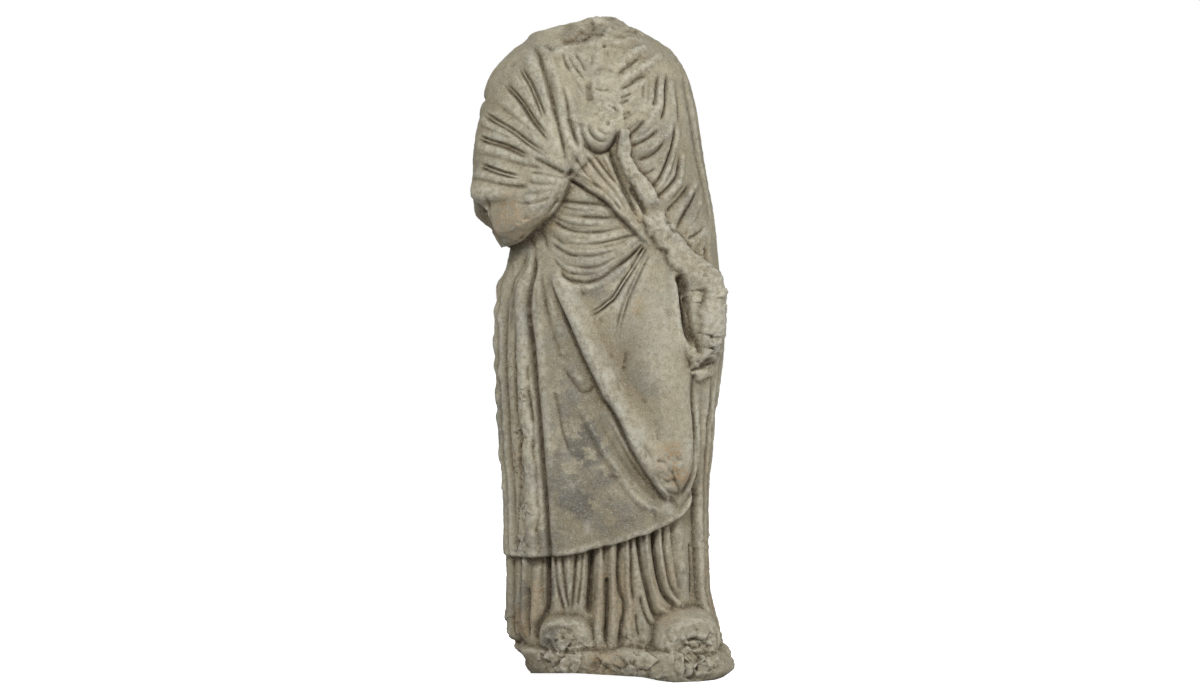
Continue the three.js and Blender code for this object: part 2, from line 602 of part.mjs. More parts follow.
// A ball of vertices, wrapped round the block and carved, with its sole flat on the ground.
function carvedGeometry(marks, broken) {
  const levels = rings();
  const geometry = new THREE.SphereGeometry(1, COLUMNS, levels.length - 1);
  const place = geometry.getAttribute('position');
  const [point, normal] = [new THREE.Vector3(), new THREE.Vector3()];
  const rim = [];
  const azimuths = spreadAzimuths(COLUMNS);
  for (let i = 0; i < place.count; i += 1) {
    const column = (i % (COLUMNS + 1)) % COLUMNS;
    const azimuth = azimuths[column];
    const [z, share] = levels[Math.floor(i / (COLUMNS + 1))];
    if (z > 0 || share === 1) {
      blockPoint(azimuth, z, point);
      blockNormal(azimuth, z, normal);
      point.addScaledVector(normal, carve(point, normal, azimuth, marks, broken));
      if (z === 0) rim[column] = point.setZ(0).clone();
    } else {
      point.set(lerp(SOLE_CENTRE[0], rim[column].x, share), lerp(SOLE_CENTRE[1], rim[column].y, share), 0);
    }
    place.setXYZ(i, point.x, point.y, Math.max(point.z, brokenFoot(point.x, point.y)));
  }
  geometry.deleteAttribute('uv');
  geometry.deleteAttribute('normal');
  return mergeVertices(geometry, 1e-3);
}

// Keeps the flat stone coarse and the folds fine, within the number of triangles asked for.
async function simplified(geometry, triangles) {
  const vertices = geometry.getAttribute('position').count;
  const keep = (3 * triangles) / geometry.getIndex().count;
  return new SimplifyModifier().modify(geometry, Math.round(vertices * (1 - keep)));
}

// Puts the origin under the middle of the statue's box.
function centred(geometry) {
  geometry.computeBoundingBox();
  const middle = geometry.boundingBox.getCenter(new THREE.Vector3());
  return geometry.translate(-middle.x, -middle.y, -geometry.boundingBox.min.z);
}

async function statue() {
  const marks = [
    masses, shoulderFan, leftShoulderFolds, sleeveCreases, chestFolds, breastArcs, sling, fistFolds,
    bellySwags, thighRays, longFalls, leftFall, backFolds, pleats,
  ].flatMap((carving) => carving());
  const broken = breaks().map((spot) => {
    const centre = blockPoint(azimuthAt(...spot.at), spot.at[1]);
    return { ...spot, centre };
  });
  const geometry = centred(await simplified(carvedGeometry(marks, broken), TRIANGLES));
  geometry.computeVertexNormals();
  const look = { name: 'marble', color: MARBLE, roughness: 0.85, metalness: 0 };
  const mesh = new THREE.Mesh(geometry, new THREE.MeshStandardMaterial(look));
  mesh.name = 'statue';
  return mesh;
}

const part = new THREE.Group();
part.add(await statue());
export default part;
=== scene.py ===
"""A worn marble statue of a standing woman in a tunic and a mantle, head and hands lost.

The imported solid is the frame. One fine carved piece stands for it: a block of smooth rounded
cross-sections, into which strokes cut the body's masses and every fold, and which is then broken,
worn and stained. Lengths are millimetres while the stone is carved and metres once it is a mesh.
The figure looks along -Y. Left and right are a viewer's who faces it, unless a name says otherwise.
"""

from __future__ import annotations

import logging
import math
from dataclasses import dataclass, field, replace
from enum import Enum
from typing import Callable, Protocol, Sequence, Union

import bpy
import numpy as np
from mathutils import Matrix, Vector

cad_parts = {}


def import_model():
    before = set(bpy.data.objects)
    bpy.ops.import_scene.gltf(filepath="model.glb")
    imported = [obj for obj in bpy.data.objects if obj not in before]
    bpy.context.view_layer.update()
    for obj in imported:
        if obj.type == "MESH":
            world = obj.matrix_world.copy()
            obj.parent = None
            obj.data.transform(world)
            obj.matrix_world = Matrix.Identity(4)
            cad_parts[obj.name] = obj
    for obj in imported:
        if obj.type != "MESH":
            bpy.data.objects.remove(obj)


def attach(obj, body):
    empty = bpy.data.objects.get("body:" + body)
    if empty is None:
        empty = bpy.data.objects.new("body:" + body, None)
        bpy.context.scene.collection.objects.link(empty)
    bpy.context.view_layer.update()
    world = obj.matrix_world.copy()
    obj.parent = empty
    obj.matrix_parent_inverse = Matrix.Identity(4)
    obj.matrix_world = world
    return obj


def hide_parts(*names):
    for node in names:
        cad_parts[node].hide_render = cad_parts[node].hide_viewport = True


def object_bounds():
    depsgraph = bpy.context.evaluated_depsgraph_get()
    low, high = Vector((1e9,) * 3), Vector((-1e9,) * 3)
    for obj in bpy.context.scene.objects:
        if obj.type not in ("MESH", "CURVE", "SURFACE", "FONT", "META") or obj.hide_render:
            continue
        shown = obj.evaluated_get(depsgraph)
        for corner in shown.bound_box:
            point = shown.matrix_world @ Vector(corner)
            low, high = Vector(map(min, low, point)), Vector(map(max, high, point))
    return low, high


log = logging.getLogger("statue")

MM = 0.001
PATH_STEPS = 26
# a height far below any stone
NO_STONE = -1000.0
# height that counts as much as one radian round the block when a path is smoothed
RISE_PER_TURN = 220.0
COARSE = 1


class Layer(Enum):
    """Which sheet a stroke is cut in."""

    MANTLE = "mantle"
    TUNIC = "tunic"
    FEET = "feet"


class Face(Enum):
    """How a place on the block is given: by x on its front or its back, or by degrees round it."""

    FRONT = "front"
    BACK = "back"
    ROUND = "round"


class Form(Enum):
    """Shape of a stroke across its width."""

    SOFT = "soft"
    SHARP = "sharp"
    DOMED = "domed"
    TWIN = "twin"
    FLAT = "flat"

    def profile(self, u: np.ndarray) -> np.ndarray:
        """Height share at a distance from the stroke's line.

        Args:
            u: distance as a share of the reach, from 0 to 1.

        Returns:
            Share of the full height, 1 on the line and 0 at the end of the reach.
        """
        if self is Form.SHARP:
            return 0.38 * (1 - u * u) ** 2 + 0.62 * np.clip(1 - u / 0.42, 0, 1) ** 1.1
        if self is Form.DOMED:
            return (1 - u * u) ** 0.8
        if self is Form.TWIN:
            return 1.5 * (1 - u * u) ** 1.6 * (1 - 0.9 * np.exp(-((u / 0.24) ** 2)))
        if self is Form.FLAT:
            return (1 - u**5) ** 1.2
        return (1 - u * u) ** 2


@dataclass(frozen=True)
class Place:
    """A place on the block, for a path that leaves the front."""

    across: float
    z: float
    face: Face


Knot = Union[Place, tuple[float, float]]
Path = Sequence[Knot]
Paths = Sequence[Path]
# each row is a path with its height or depth and its width
Marks = Sequence[tuple[Path, float, float]]
Colour = tuple[float, float, float]


def turned(degrees: float, z: float) -> Place:
    """A place by degrees round the block: 0 is the front, 90 the viewer's right."""
    return Place(degrees, z, Face.ROUND)


def draped(heights: Sequence[float], turns: Sequence[float]) -> list[Place]:
    """A path down the side, by its heights and its degrees round the block."""
    return [turned(degrees, z) for degrees, z in zip(turns, heights)]


def behind(x: float, z: float) -> Place:
    """A place on the back, by x and height."""
    return Place(x, z, Face.BACK)


@dataclass(frozen=True)
class Stroke:
    """A carved mark along a smooth path.

    height is positive for a ridge, negative for a groove. right and left are its reach to the
    traveller's right and left, seen from outside. fade is the share of the path over which it
    dies away at its start and its end. widen is how many times wider it is at its end,
    and ragged is how far its edges wander, as a share of its reach.
    """

    path: Path
    height: float
    right: float
    left: float
    form_right: Form = Form.SOFT
    form_left: Form = Form.SOFT
    fade: tuple[float, float] = (0.25, 0.25)
    layer: Layer = Layer.MANTLE
    widen: float = 1.0
    ragged: float = 0.0


def ridge(path: Path, height: float, width: float, fade: tuple[float, float] = (0.25, 0.25)) -> Stroke:
    """A soft ridge."""
    return Stroke(path, height, width, width, fade=fade)


def cut(path: Path, depth: float, width: float, fade: tuple[float, float] = (0.25, 0.25)) -> Stroke:
    """A cut with a crisp bottom and soft shoulders."""
    reach = 1.6 * width
    return Stroke(path, -depth, reach, reach, Form.SHARP, Form.SHARP, fade)


def drill(path: Path, depth: float, width: float, fade: tuple[float, float] = (0.12, 0.12)) -> Stroke:
    """A round-bottomed drilled channel."""
    return Stroke(path, -depth, width, width, Form.DOMED, Form.DOMED, fade)


def hairpin(path: Path, depth: float, width: float, fade: tuple[float, float] = (0.3, 0.1)) -> Stroke:
    """Two grooves side by side, with a thin rib left standing between them."""
    return Stroke(path, -depth, width, width, Form.TWIN, Form.TWIN, fade)


def between(guides: Sequence[Path], place: float) -> list[Knot]:
    """A path between two guide paths.

    Args:
        guides: paths with the same number of knots, each given in the same way.
        place: 0 is the first guide, 1 the second and so on.

    Returns:
        The path.
    """
    i = min(int(place), len(guides) - 2)
    share = place - i
    path: list[Knot] = []
    for a, b in zip(guides[i], guides[i + 1]):
        if isinstance(a, tuple):
            path.append((a[0] + share * (b[0] - a[0]), a[1] + share * (b[1] - a[1])))
        else:
            path.append(Place(a.across + share * (b.across - a.across), a.z + share * (b.z - a.z), a.face))
    return path


def step(path: Path, height: float, right: float, left: float,
         fade: tuple[float, float] = (0.12, 0.12)) -> Stroke:
    """An edge of cloth: steep on the side with the short reach, flowing away on the other."""
    return Stroke(path, height, right, left, Form.SOFT, Form.SOFT, fade)


class SmoothTable:
    """Rows of key and values, read smoothly and without overshoot between rows."""

    def __init__(self, rows: Sequence[Sequence[float]]) -> None:
        """Store the rows and work out their slopes.

        Args:
            rows: each row is a key followed by its values, keys rising.
        """
        table = np.array(rows, float)
        self.keys, self.values = table[:, 0], table[:, 1:]
        rise = np.diff(self.values, axis=0) / np.diff(self.keys)[:, None]
        before, after = rise[:-1], rise[1:]
        product, total = before * after, before + after
        middle = np.where(product > 0, 2 * product / np.where(total == 0, 1, total), 0)
        self.slopes = np.vstack([rise[:1], middle, rise[-1:]])

    def read(self, key: np.ndarray) -> np.ndarray:
        """Values at keys.

        Args:
            key: array of any shape.

        Returns:
            Array with one more axis, which holds the values.
        """
        key = np.asarray(key, float)
        i = np.clip(np.searchsorted(self.keys, key) - 1, 0, len(self.keys) - 2)
        span = self.keys[i + 1] - self.keys[i]
        t = np.clip((key - self.keys[i]) / span, 0, 1)[..., None]
        ends = self.values[i] * (1 + 2 * t) * (1 - t) ** 2 + self.values[i + 1] * t * t * (3 - 2 * t)
        bend = self.slopes[i] * t * (1 - t) ** 2 - self.slopes[i + 1] * t * t * (1 - t)
        return ends + span[..., None] * bend


def eased(value: np.ndarray, low: float, high: float) -> np.ndarray:
    """Smooth step from 0 at low to 1 at high."""
    t = np.clip((value - low) / (high - low), 0, 1)
    return t * t * (3 - 2 * t)


@dataclass
class StoneBlock:
    """The smooth block before carving: rounded cross-sections stacked from sole to crown.

    The grid's points lie front_gap apart on the front and back_gap on the back, which are the turns
    up to front_to and from back_from degrees. They are spaced on the section at ring_share of the
    height. Stone is added outward alone below level_band, and along the surface above it.
    """

    height: float = 1470.0
    spine_y: float = 5.0
    crown: float = 60.0
    front_gap: float = 1.75
    back_gap: float = 3.4
    row_gap: float = 1.75
    crown_rows: int = 34
    level_band: tuple[float, float] = (110.0, 240.0)
    front_to: float = 88.0
    back_from: float = 115.0
    ring_steps: int = 20001
    ring_share: float = 0.45
    # height, left edge, right edge, front, back, squareness
    sections: Sequence[Sequence[float]] = (
        (0, -160, 270, -150, 165, 3.2),
        (20, -174, 290, -160, 172, 3.2),
        (46, -190, 282, -165, 172, 3.0),
        (64, -204, 268, -158, 168, 2.8),
        (84, -219, 262, -136, 160, 2.6),
        (127, -223, 249, -128, 154, 2.5),
        (200, -221, 234, -122, 150, 2.5),
        (369, -221, 230, -128, 146, 2.5),
        (520, -232, 240, -134, 142, 2.5),
        (640, -237, 254, -136, 146, 2.5),
        (772, -240, 268, -138, 152, 2.5),
        (860, -236, 264, -136, 148, 2.5),
        (915, -218, 256, -130, 140, 2.4),
        (962, -210, 250, -124, 134, 2.3),
        (992, -250, 246, -124, 132, 2.3),
        (1030, -290, 240, -126, 132, 2.3),
        (1068, -293, 234, -128, 134, 2.3),
        (1175, -290, 214, -128, 142, 2.3),
        (1283, -274, 197, -118, 146, 2.3),
        (1336, -256, 185, -104, 142, 2.3),
        (1390, -209, 153, -78, 128, 2.2),
        (1415, -178, 120, -62, 112, 2.1),
        (1434, -160, 84, -44, 98, 2.1),
        (1444, -118, 62, -32, 88, 2.0),
        (1452, -72, 45, -20, 76, 2.0),
        (1461, -44, 28, -6, 60, 2.0),
        (1470, -8, -8, 28, 28, 2.0),
    )

    def __post_init__(self) -> None:
        """Lay out the grid of points and their outward directions."""
        self.table = SmoothTable(self.sections)
        self.azimuths = self.spread_azimuths()
        wall = np.arange(0, self.height - self.crown, self.row_gap * COARSE)
        share = np.linspace(1, 0, self.crown_rows // COARSE, endpoint=False)
        self.levels = np.concatenate([wall, self.height - self.crown * share**2])
        azimuth, z = np.meshgrid(self.azimuths, self.levels)
        self.points = self.surface(azimuth, z)
        self.normals = self.levelled(self.outward(azimuth, z), z)
        self.azimuth = azimuth

    def levelled(self, normals: np.ndarray, z: np.ndarray) -> np.ndarray:
        """Lay directions flat near the foot, so that stone is added outward there and not upward.

        Args:
            normals: unit directions out of the block.
            z: their heights.

        Returns:
            Unit directions.
        """
        upright = 0.1 + 0.9 * eased(z, *self.level_band)
        normals = normals * np.stack([np.ones_like(z), np.ones_like(z), upright], axis=-1)
        return normals / np.maximum(np.linalg.norm(normals, axis=-1, keepdims=True), 1e-6)

    def spread_azimuths(self) -> np.ndarray:
        """Angles whose points lie evenly along the section at mid height, closer on the front.

        Returns:
            Angles from -pi up to, not including, pi.
        """
        fine = np.linspace(-math.pi, math.pi, self.ring_steps)
        ring = self.surface(fine, np.full_like(fine, self.ring_share * self.height))
        pace = np.linalg.norm(np.diff(ring, axis=0), axis=1)
        middle = 0.5 * (fine[1:] + fine[:-1])
        front = eased(-np.abs(middle), -math.radians(self.back_from), -math.radians(self.front_to))
        gap = self.back_gap + (self.front_gap - self.back_gap) * front
        count = np.concatenate([[0], np.cumsum(pace / (gap * COARSE))])
        columns = int(round(count[-1]))
        return np.interp(np.arange(columns) / columns * count[-1], count, fine)

    def section(self, z: np.ndarray) -> tuple[np.ndarray, ...]:
        """Middle, half width, front, back and squareness at heights."""
        left, right, front, back, square = np.moveaxis(self.table.read(z), -1, 0)
        return (left + right) / 2, (right - left) / 2, front, back, square

    def surface(self, azimuth: np.ndarray, z: np.ndarray) -> np.ndarray:
        """Points of the smooth block.

        Args:
            azimuth: angles round the block, 0 at the front.
            z: heights, of the same shape.

        Returns:
            Array of x, y, z.
        """
        middle, half, front, back, square = self.section(z)
        power = 2 / square
        across = np.sign(np.sin(azimuth)) * np.abs(np.sin(azimuth)) ** power
        along = np.sign(np.cos(azimuth)) * np.abs(np.cos(azimuth)) ** power
        spine = np.clip(self.spine_y, front, back)
        depth = np.where(along > 0, spine - front, back - spine)
        return np.stack([middle + half * across, spine - depth * along, z], axis=-1)

    def outward(self, azimuth: np.ndarray, z: np.ndarray) -> np.ndarray:
        """Unit directions out of the smooth block.

        Args:
            azimuth: angles round the block.
            z: heights, of the same shape.

        Returns:
            Array of x, y, z.
        """
        turn, rise = 0.01, 2.0
        around = self.surface(azimuth + turn, z) - self.surface(azimuth - turn, z)
        low, high = np.maximum(z - rise, 0), np.minimum(z + rise, self.height)
        upward = self.surface(azimuth, high) - self.surface(azimuth, low)
        normal = np.cross(around, upward)
        return normal / np.maximum(np.linalg.norm(normal, axis=-1, keepdims=True), 1e-6)

    def locate(self, knot: Knot) -> tuple[float, float]:
        """Turn a knot into a place on the block.

        Args:
            knot: a knot of a path.

        Returns:
            Its azimuth and height.
        """
        if isinstance(knot, tuple):
            knot = Place(*knot, Face.FRONT)
        across, z, face = knot.across, knot.z, knot.face
        if face is Face.ROUND:
            return math.radians(across), z
        middle, half, _, _, square = (float(v) for v in self.section(np.array(z)))
        share = max(-1.0, min(1.0, (across - middle) / half))
        angle = math.copysign(math.asin(abs(share) ** (square / 2)), share)
        return (math.pi - angle if face is Face.BACK else angle), z

    def trace(self, path: Path) -> np.ndarray:
        """Points along a smooth path on the block.

        Args:
            path: its knots, in order.

        Returns:
            Array of points, evenly paced between knots.
        """
        knots = np.array([self.locate(knot) for knot in path]) / (1, RISE_PER_TURN)
        chord = np.sqrt(np.linalg.norm(np.diff(knots, axis=0), axis=1)) + 1e-9
        pace = np.concatenate([[0], np.cumsum(chord)])
        slope = np.gradient(knots, pace, axis=0)
        at = np.linspace(0, pace[-1], PATH_STEPS + 1)
        i = np.clip(np.searchsorted(pace, at) - 1, 0, len(pace) - 2)
        span = (pace[i + 1] - pace[i])[:, None]
        t = (at - pace[i])[:, None] / span
        line = knots[i] * (1 + 2 * t) * (1 - t) ** 2 + knots[i + 1] * t * t * (3 - 2 * t)
        line = line + span * (slope[i] * t * (1 - t) ** 2 - slope[i + 1] * t * t * (1 - t))
        return self.surface(line[:, 0], line[:, 1] * RISE_PER_TURN)


class Grain:
    """Seeded value noise in space, for the natural unevenness of stone."""

    def __init__(self, seed: int) -> None:
        """Draw the lattice values."""
        self.values = np.random.default_rng(seed).uniform(-1, 1, 4096).astype(np.float32)

    def look_up(self, cell: np.ndarray, shift: int = 0) -> np.ndarray:
        """Lattice value of whole-number cells."""
        key = cell[..., 0] * 73856093 ^ cell[..., 1] * 19349663 ^ cell[..., 2] * 83492791
        return self.values[(key + shift * 2654435) & 4095]

    def smooth(self, points: np.ndarray, size: float) -> np.ndarray:
        """Noise from -1 to 1 with bumps of a given size.

        Args:
            points: array of x, y, z.
            size: width of a bump.

        Returns:
            Noise at each point.
        """
        scaled = points / size
        base = np.floor(scaled)
        t = (scaled - base).astype(np.float32)
        t = t * t * (3 - 2 * t)
        cell = base.astype(np.int64)
        total = np.zeros(points.shape[:-1], np.float32)
        for corner in np.ndindex(2, 2, 2):
            share = np.prod(np.where(corner, t, 1 - t), axis=-1)
            total += share * self.look_up(cell + np.array(corner))
        return total

    def layered(self, points: np.ndarray, size: float, octaves: int) -> np.ndarray:
        """Noise of several sizes, each half the last and about half as strong."""
        total = np.zeros(points.shape[:-1], np.float32)
        for octave in range(octaves):
            total += 0.55**octave * self.smooth(points + 37.0 * octave, size / 2**octave)
        return total

    def facets(self, points: np.ndarray, size: float) -> np.ndarray:
        """Broken faces: each cell of stone is a plane of its own height and tilt.

        Args:
            points: array of x, y, z.
            size: width of a cell.

        Returns:
            Height of the faces at each point, about -1 to 1.
        """
        scaled = points / size
        base = np.floor(scaled).astype(np.int64)
        best = np.full(points.shape[:-1], np.inf, np.float32)
        value = np.zeros_like(best)
        for corner in np.ndindex(3, 3, 3):
            cell = base + np.array(corner) - 1
            jitter = np.stack([self.look_up(cell, k) for k in (1, 2, 3)], axis=-1) * 0.5 + 0.5
            offset = (scaled - cell - jitter).astype(np.float32)
            distance = np.einsum("...i,...i->...", offset, offset)
            tilt = np.stack([self.look_up(cell, k) for k in (4, 5, 6)], axis=-1)
            plane = np.einsum("...i,...i->...", offset, tilt) + 0.5 * self.look_up(cell, 7)
            closer = distance < best
            best = np.where(closer, distance, best)
            value = np.where(closer, plane, value)
        return value


def blurred(field_: np.ndarray, rows: float, columns: float) -> np.ndarray:
    """A grid softened by a bell of the given spreads, counted in rows and columns.

    Args:
        field_: the grid; its columns run right round the block.
        rows: spread along the height.
        columns: spread round the block.

    Returns:
        The softened grid.
    """
    pad = int(4 * rows) + 1
    tall = np.pad(field_, ((pad, pad), (0, 0)), mode="edge")
    wave_rows = np.fft.fftfreq(tall.shape[0])[:, None]
    wave_columns = np.fft.rfftfreq(tall.shape[1])[None, :]
    bell = np.exp(-2 * math.pi**2 * ((wave_rows * rows) ** 2 + (wave_columns * columns) ** 2))
    return np.fft.irfft2(np.fft.rfft2(tall) * bell, tall.shape)[pad:-pad]


@dataclass
class Relief:
    """Heights carved on the block's grid, one sheet for each garment."""

    block: StoneBlock
    sway: float = 2.2
    sway_size: float = 55.0

    def __post_init__(self) -> None:
        """Start with flat sheets, and sway the grid a little so that no fold runs like a ruled line."""
        shape = self.block.points.shape[:2]
        self.sheets = {layer: np.zeros(shape, np.float32) for layer in Layer}
        drift = [Grain(seed).smooth(self.block.points, self.sway_size) for seed in (3, 4, 5)]
        self.points = (self.block.points + self.sway * np.stack(drift, axis=-1)).astype(np.float32)
        self.normals = self.block.normals.astype(np.float32)
        self.raggedness = Grain(6).layered(self.block.points, 26, 3)

    def add(self, stroke: Stroke) -> None:
        """Cut one stroke.

        Args:
            stroke: the mark to cut.
        """
        line = self.block.trace(stroke.path).astype(np.float32)
        reach = max(stroke.right, stroke.left) * max(stroke.widen, 1)
        low, high = line.min(axis=0) - reach, line.max(axis=0) + reach
        rows = np.searchsorted(self.block.levels, (low[2] - self.sway, high[2] + self.sway))
        band = self.points[rows[0]:rows[1]]
        inside = np.all((band > low) & (band < high), axis=-1)
        points, normals = band[inside], self.normals[rows[0]:rows[1]][inside]
        if not len(points):
            return
        best = np.full(len(points), np.inf, np.float32)
        along, side = np.zeros_like(best), np.ones_like(best)
        for i, (start, end) in enumerate(zip(line[:-1], line[1:])):
            leg = end - start
            off = points - start
            t = np.clip(off @ leg / max(float(leg @ leg), 1e-9), 0, 1)
            near = off - t[:, None] * leg
            distance = np.einsum("ij,ij->i", near, near)
            closer = distance < best
            best = np.where(closer, distance, best)
            along = np.where(closer, (i + t) / PATH_STEPS, along)
            turn = np.einsum("ij,ij->i", np.cross(leg, near), normals)
            side = np.where(closer, turn, side)
        on_left = side > 0
        reach = np.where(on_left, stroke.left, stroke.right) * (1 + (stroke.widen - 1) * along)
        if stroke.ragged:
            reach = reach * (1 + stroke.ragged * self.raggedness[rows[0]:rows[1]][inside])
        u = np.clip(np.sqrt(best) / reach, 0, 1)
        shape = np.where(on_left, stroke.form_left.profile(u), stroke.form_right.profile(u))
        for share, t in zip(stroke.fade, (along, 1 - along)):
            if share > 0:
                shape = shape * eased(t, 0, share)
        sheet = self.sheets[stroke.layer][rows[0]:rows[1]]
        sheet[inside] += stroke.height * shape


# ---------------------------------------------------------------- the figure, part by part


class Carving(Protocol):
    """A part of the figure, which knows the strokes that it is carved with."""

    def strokes(self) -> list[Stroke]:
        """The strokes, in the order they are cut."""


@dataclass
class Masses:
    """The body under the cloth: arms, breast, belly, thigh, seat and shoulder blades."""

    arm: float = 44.0
    thigh: float = 34.0

    def strokes(self) -> list[Stroke]:
        """Broad forms that the folds lie on.

        Returns:
            The strokes, in the order they are cut.
        """
        soft = (0.0, 0.0)
        return [
            ridge([(-232, 1290), (-248, 1160), (-244, 1040)], 26, 90, (0.6, 0.1)),
            Stroke([(-232, 1010), (-190, 1045), (-140, 1098), (-105, 1150), (-55, 1196), (-10, 1218)],
                   self.arm, 62, 120, Form.DOMED, Form.SOFT, (0.06, 0.3)),
            ridge([(0, 1208), (-2, 1250), (4, 1330)], 18, 66, (0, 0.4)),
            Stroke([(-34, 1206), (-10, 1196), (14, 1210)], 14, 44, 66, fade=soft),
            ridge([(100, 1235), (100, 1195)], 20, 88, soft),
            ridge([(-20, 950), (-20, 900)], 16, 130, soft),
            ridge([(96, 880), (122, 690), (144, 540), (150, 480)], self.thigh, 90, (0.4, 0)),
            Stroke([(212, 945), (224, 850), (222, 790), (214, 730)], 26, 50, 46,
                   Form.DOMED, Form.DOMED, (0.3, 0)),
            ridge([behind(-90, 760), behind(-90, 700)], 26, 120, soft),
            ridge([behind(95, 770), behind(95, 710)], 26, 120, soft),
            ridge([behind(-110, 1230), behind(-100, 1140)], 14, 100, soft),
            ridge([behind(90, 1230), behind(80, 1140)], 14, 100, soft),
        ]


@dataclass
class ShoulderFan:
    """Folds that spread from the crook of the folded arm over the shoulder."""

    pairs: Paths = (
        [(-184, 1352), (-166, 1310), (-148, 1270), (-116, 1204)],
        [(-222, 1318), (-186, 1270), (-146, 1216), (-102, 1166)],
        [(-266, 1248), (-212, 1211), (-160, 1174), (-110, 1138)],
        [(-268, 1192), (-212, 1168), (-150, 1142)],
        [(-258, 1129), (-212, 1110), (-166, 1096)],
    )
    lines: Marks = (
        ([(-156, 1410), (-142, 1366), (-126, 1310), (-104, 1232), (-90, 1180), (-80, 1120)], 11, 8),
        ([(-140, 1350), (-124, 1288), (-108, 1232)], 6, 6),
        ([(-204, 1292), (-172, 1246), (-142, 1208), (-112, 1170)], 6, 6),
        ([(-196, 1350), (-178, 1306), (-160, 1270)], 5, 6),
        ([(-244, 1270), (-196, 1232), (-156, 1202), (-116, 1166)], 5, 7),
        ([(-152, 1144), (-118, 1124), (-80, 1102)], 11, 7),
        ([(-274, 1222), (-230, 1200), (-190, 1182)], 5, 7),
        ([(-272, 1160), (-220, 1142), (-160, 1124), (-110, 1112)], 5, 7),
        ([(-280, 1100), (-240, 1094), (-196, 1082), (-150, 1076)], 7, 8),
        ([(-162, 1112), (-122, 1102), (-82, 1094)], 8, 6),
        ([(-166, 1094), (-130, 1080), (-98, 1080)], 6, 5),
        ([(-172, 1066), (-136, 1063), (-100, 1070)], 4, 6),
        ([(-184, 1046), (-146, 1044), (-106, 1055)], 6, 5),
        ([(-180, 1020), (-150, 1021), (-118, 1038)], 3, 5),
        ([(-212, 1006), (-172, 998), (-132, 1018)], 5, 6),
        ([(-222, 976), (-186, 976), (-158, 992)], 5, 6),
    )
    swells: Paths = (
        [(-172, 1400), (-146, 1330), (-108, 1226)],
        [(-206, 1346), (-164, 1286), (-108, 1190)],
        [(-246, 1300), (-190, 1236), (-120, 1172)],
        [(-272, 1236), (-206, 1196), (-132, 1148)],
        [(-280, 1176), (-212, 1152), (-136, 1124)],
        [(-282, 1116), (-220, 1100), (-150, 1090)],
    )
    over: Paths = (
        [turned(-128, 1300), turned(-104, 1290), (-252, 1276)],
        [turned(-126, 1246), turned(-104, 1240), (-272, 1236)],
        [turned(-124, 1188), turned(-104, 1186), (-278, 1186)],
        [turned(-122, 1128), turned(-104, 1130), (-280, 1128)],
        [turned(-118, 1078), turned(-104, 1082), (-284, 1082)],
    )

    def strokes(self) -> list[Stroke]:
        """Long cuts, the thin ribs between close pairs, and the swells that part them.

        Returns:
            The strokes, in the order they are cut.
        """
        return [
            *(hairpin(path, 9.5, 9.5, (0.2, 0.3)) for path in self.pairs),
            *(cut(path, depth, width, (0.3, 0.15)) for path, depth, width in self.lines),
            *(ridge(path, 5, 20, (0.3, 0.2)) for path in self.swells),
            *(cut(path, 7, 14, (0.4, 0.4)) for path in self.over),
            cut([(-166, 1222), (-162, 1200), (-164, 1182)], 3, 5),
            cut([(-150, 1320), (-140, 1314), (-136, 1304)], 3, 5),
        ]


@dataclass
class ElbowBreak:
    """The worn underside of the folded arm, down to the broken elbow."""

    drop: float = 26.0
    edge: Path = ((-78, 1106), (-92, 1064), (-110, 1032), (-131, 1014), (-165, 986), (-188, 968), (-214, 956))

    def strokes(self) -> list[Stroke]:
        """The arm's lower edge, the crook's dark pocket and the cracks at the elbow.

        Returns:
            The strokes, in the order they are cut.
        """
        return [
            step(self.edge, self.drop, 90, 9, (0.08, 0.05)),
            drill([(-82, 1110), (-62, 1096), (-36, 1080), (-8, 1062)], 16, 13, (0.1, 0.4)),
            cut([(-84, 1104), (-97, 1060), (-116, 1028), (-140, 1004), (-180, 974)], 9, 7, (0.05, 0.3)),
            cut([(-231, 1074), (-234, 1032), (-218, 1004), (-214, 982)], 7, 8, (0.1, 0.1)),
            cut([(-246, 1018), (-230, 1000), (-212, 990)], 6, 8),
        ]


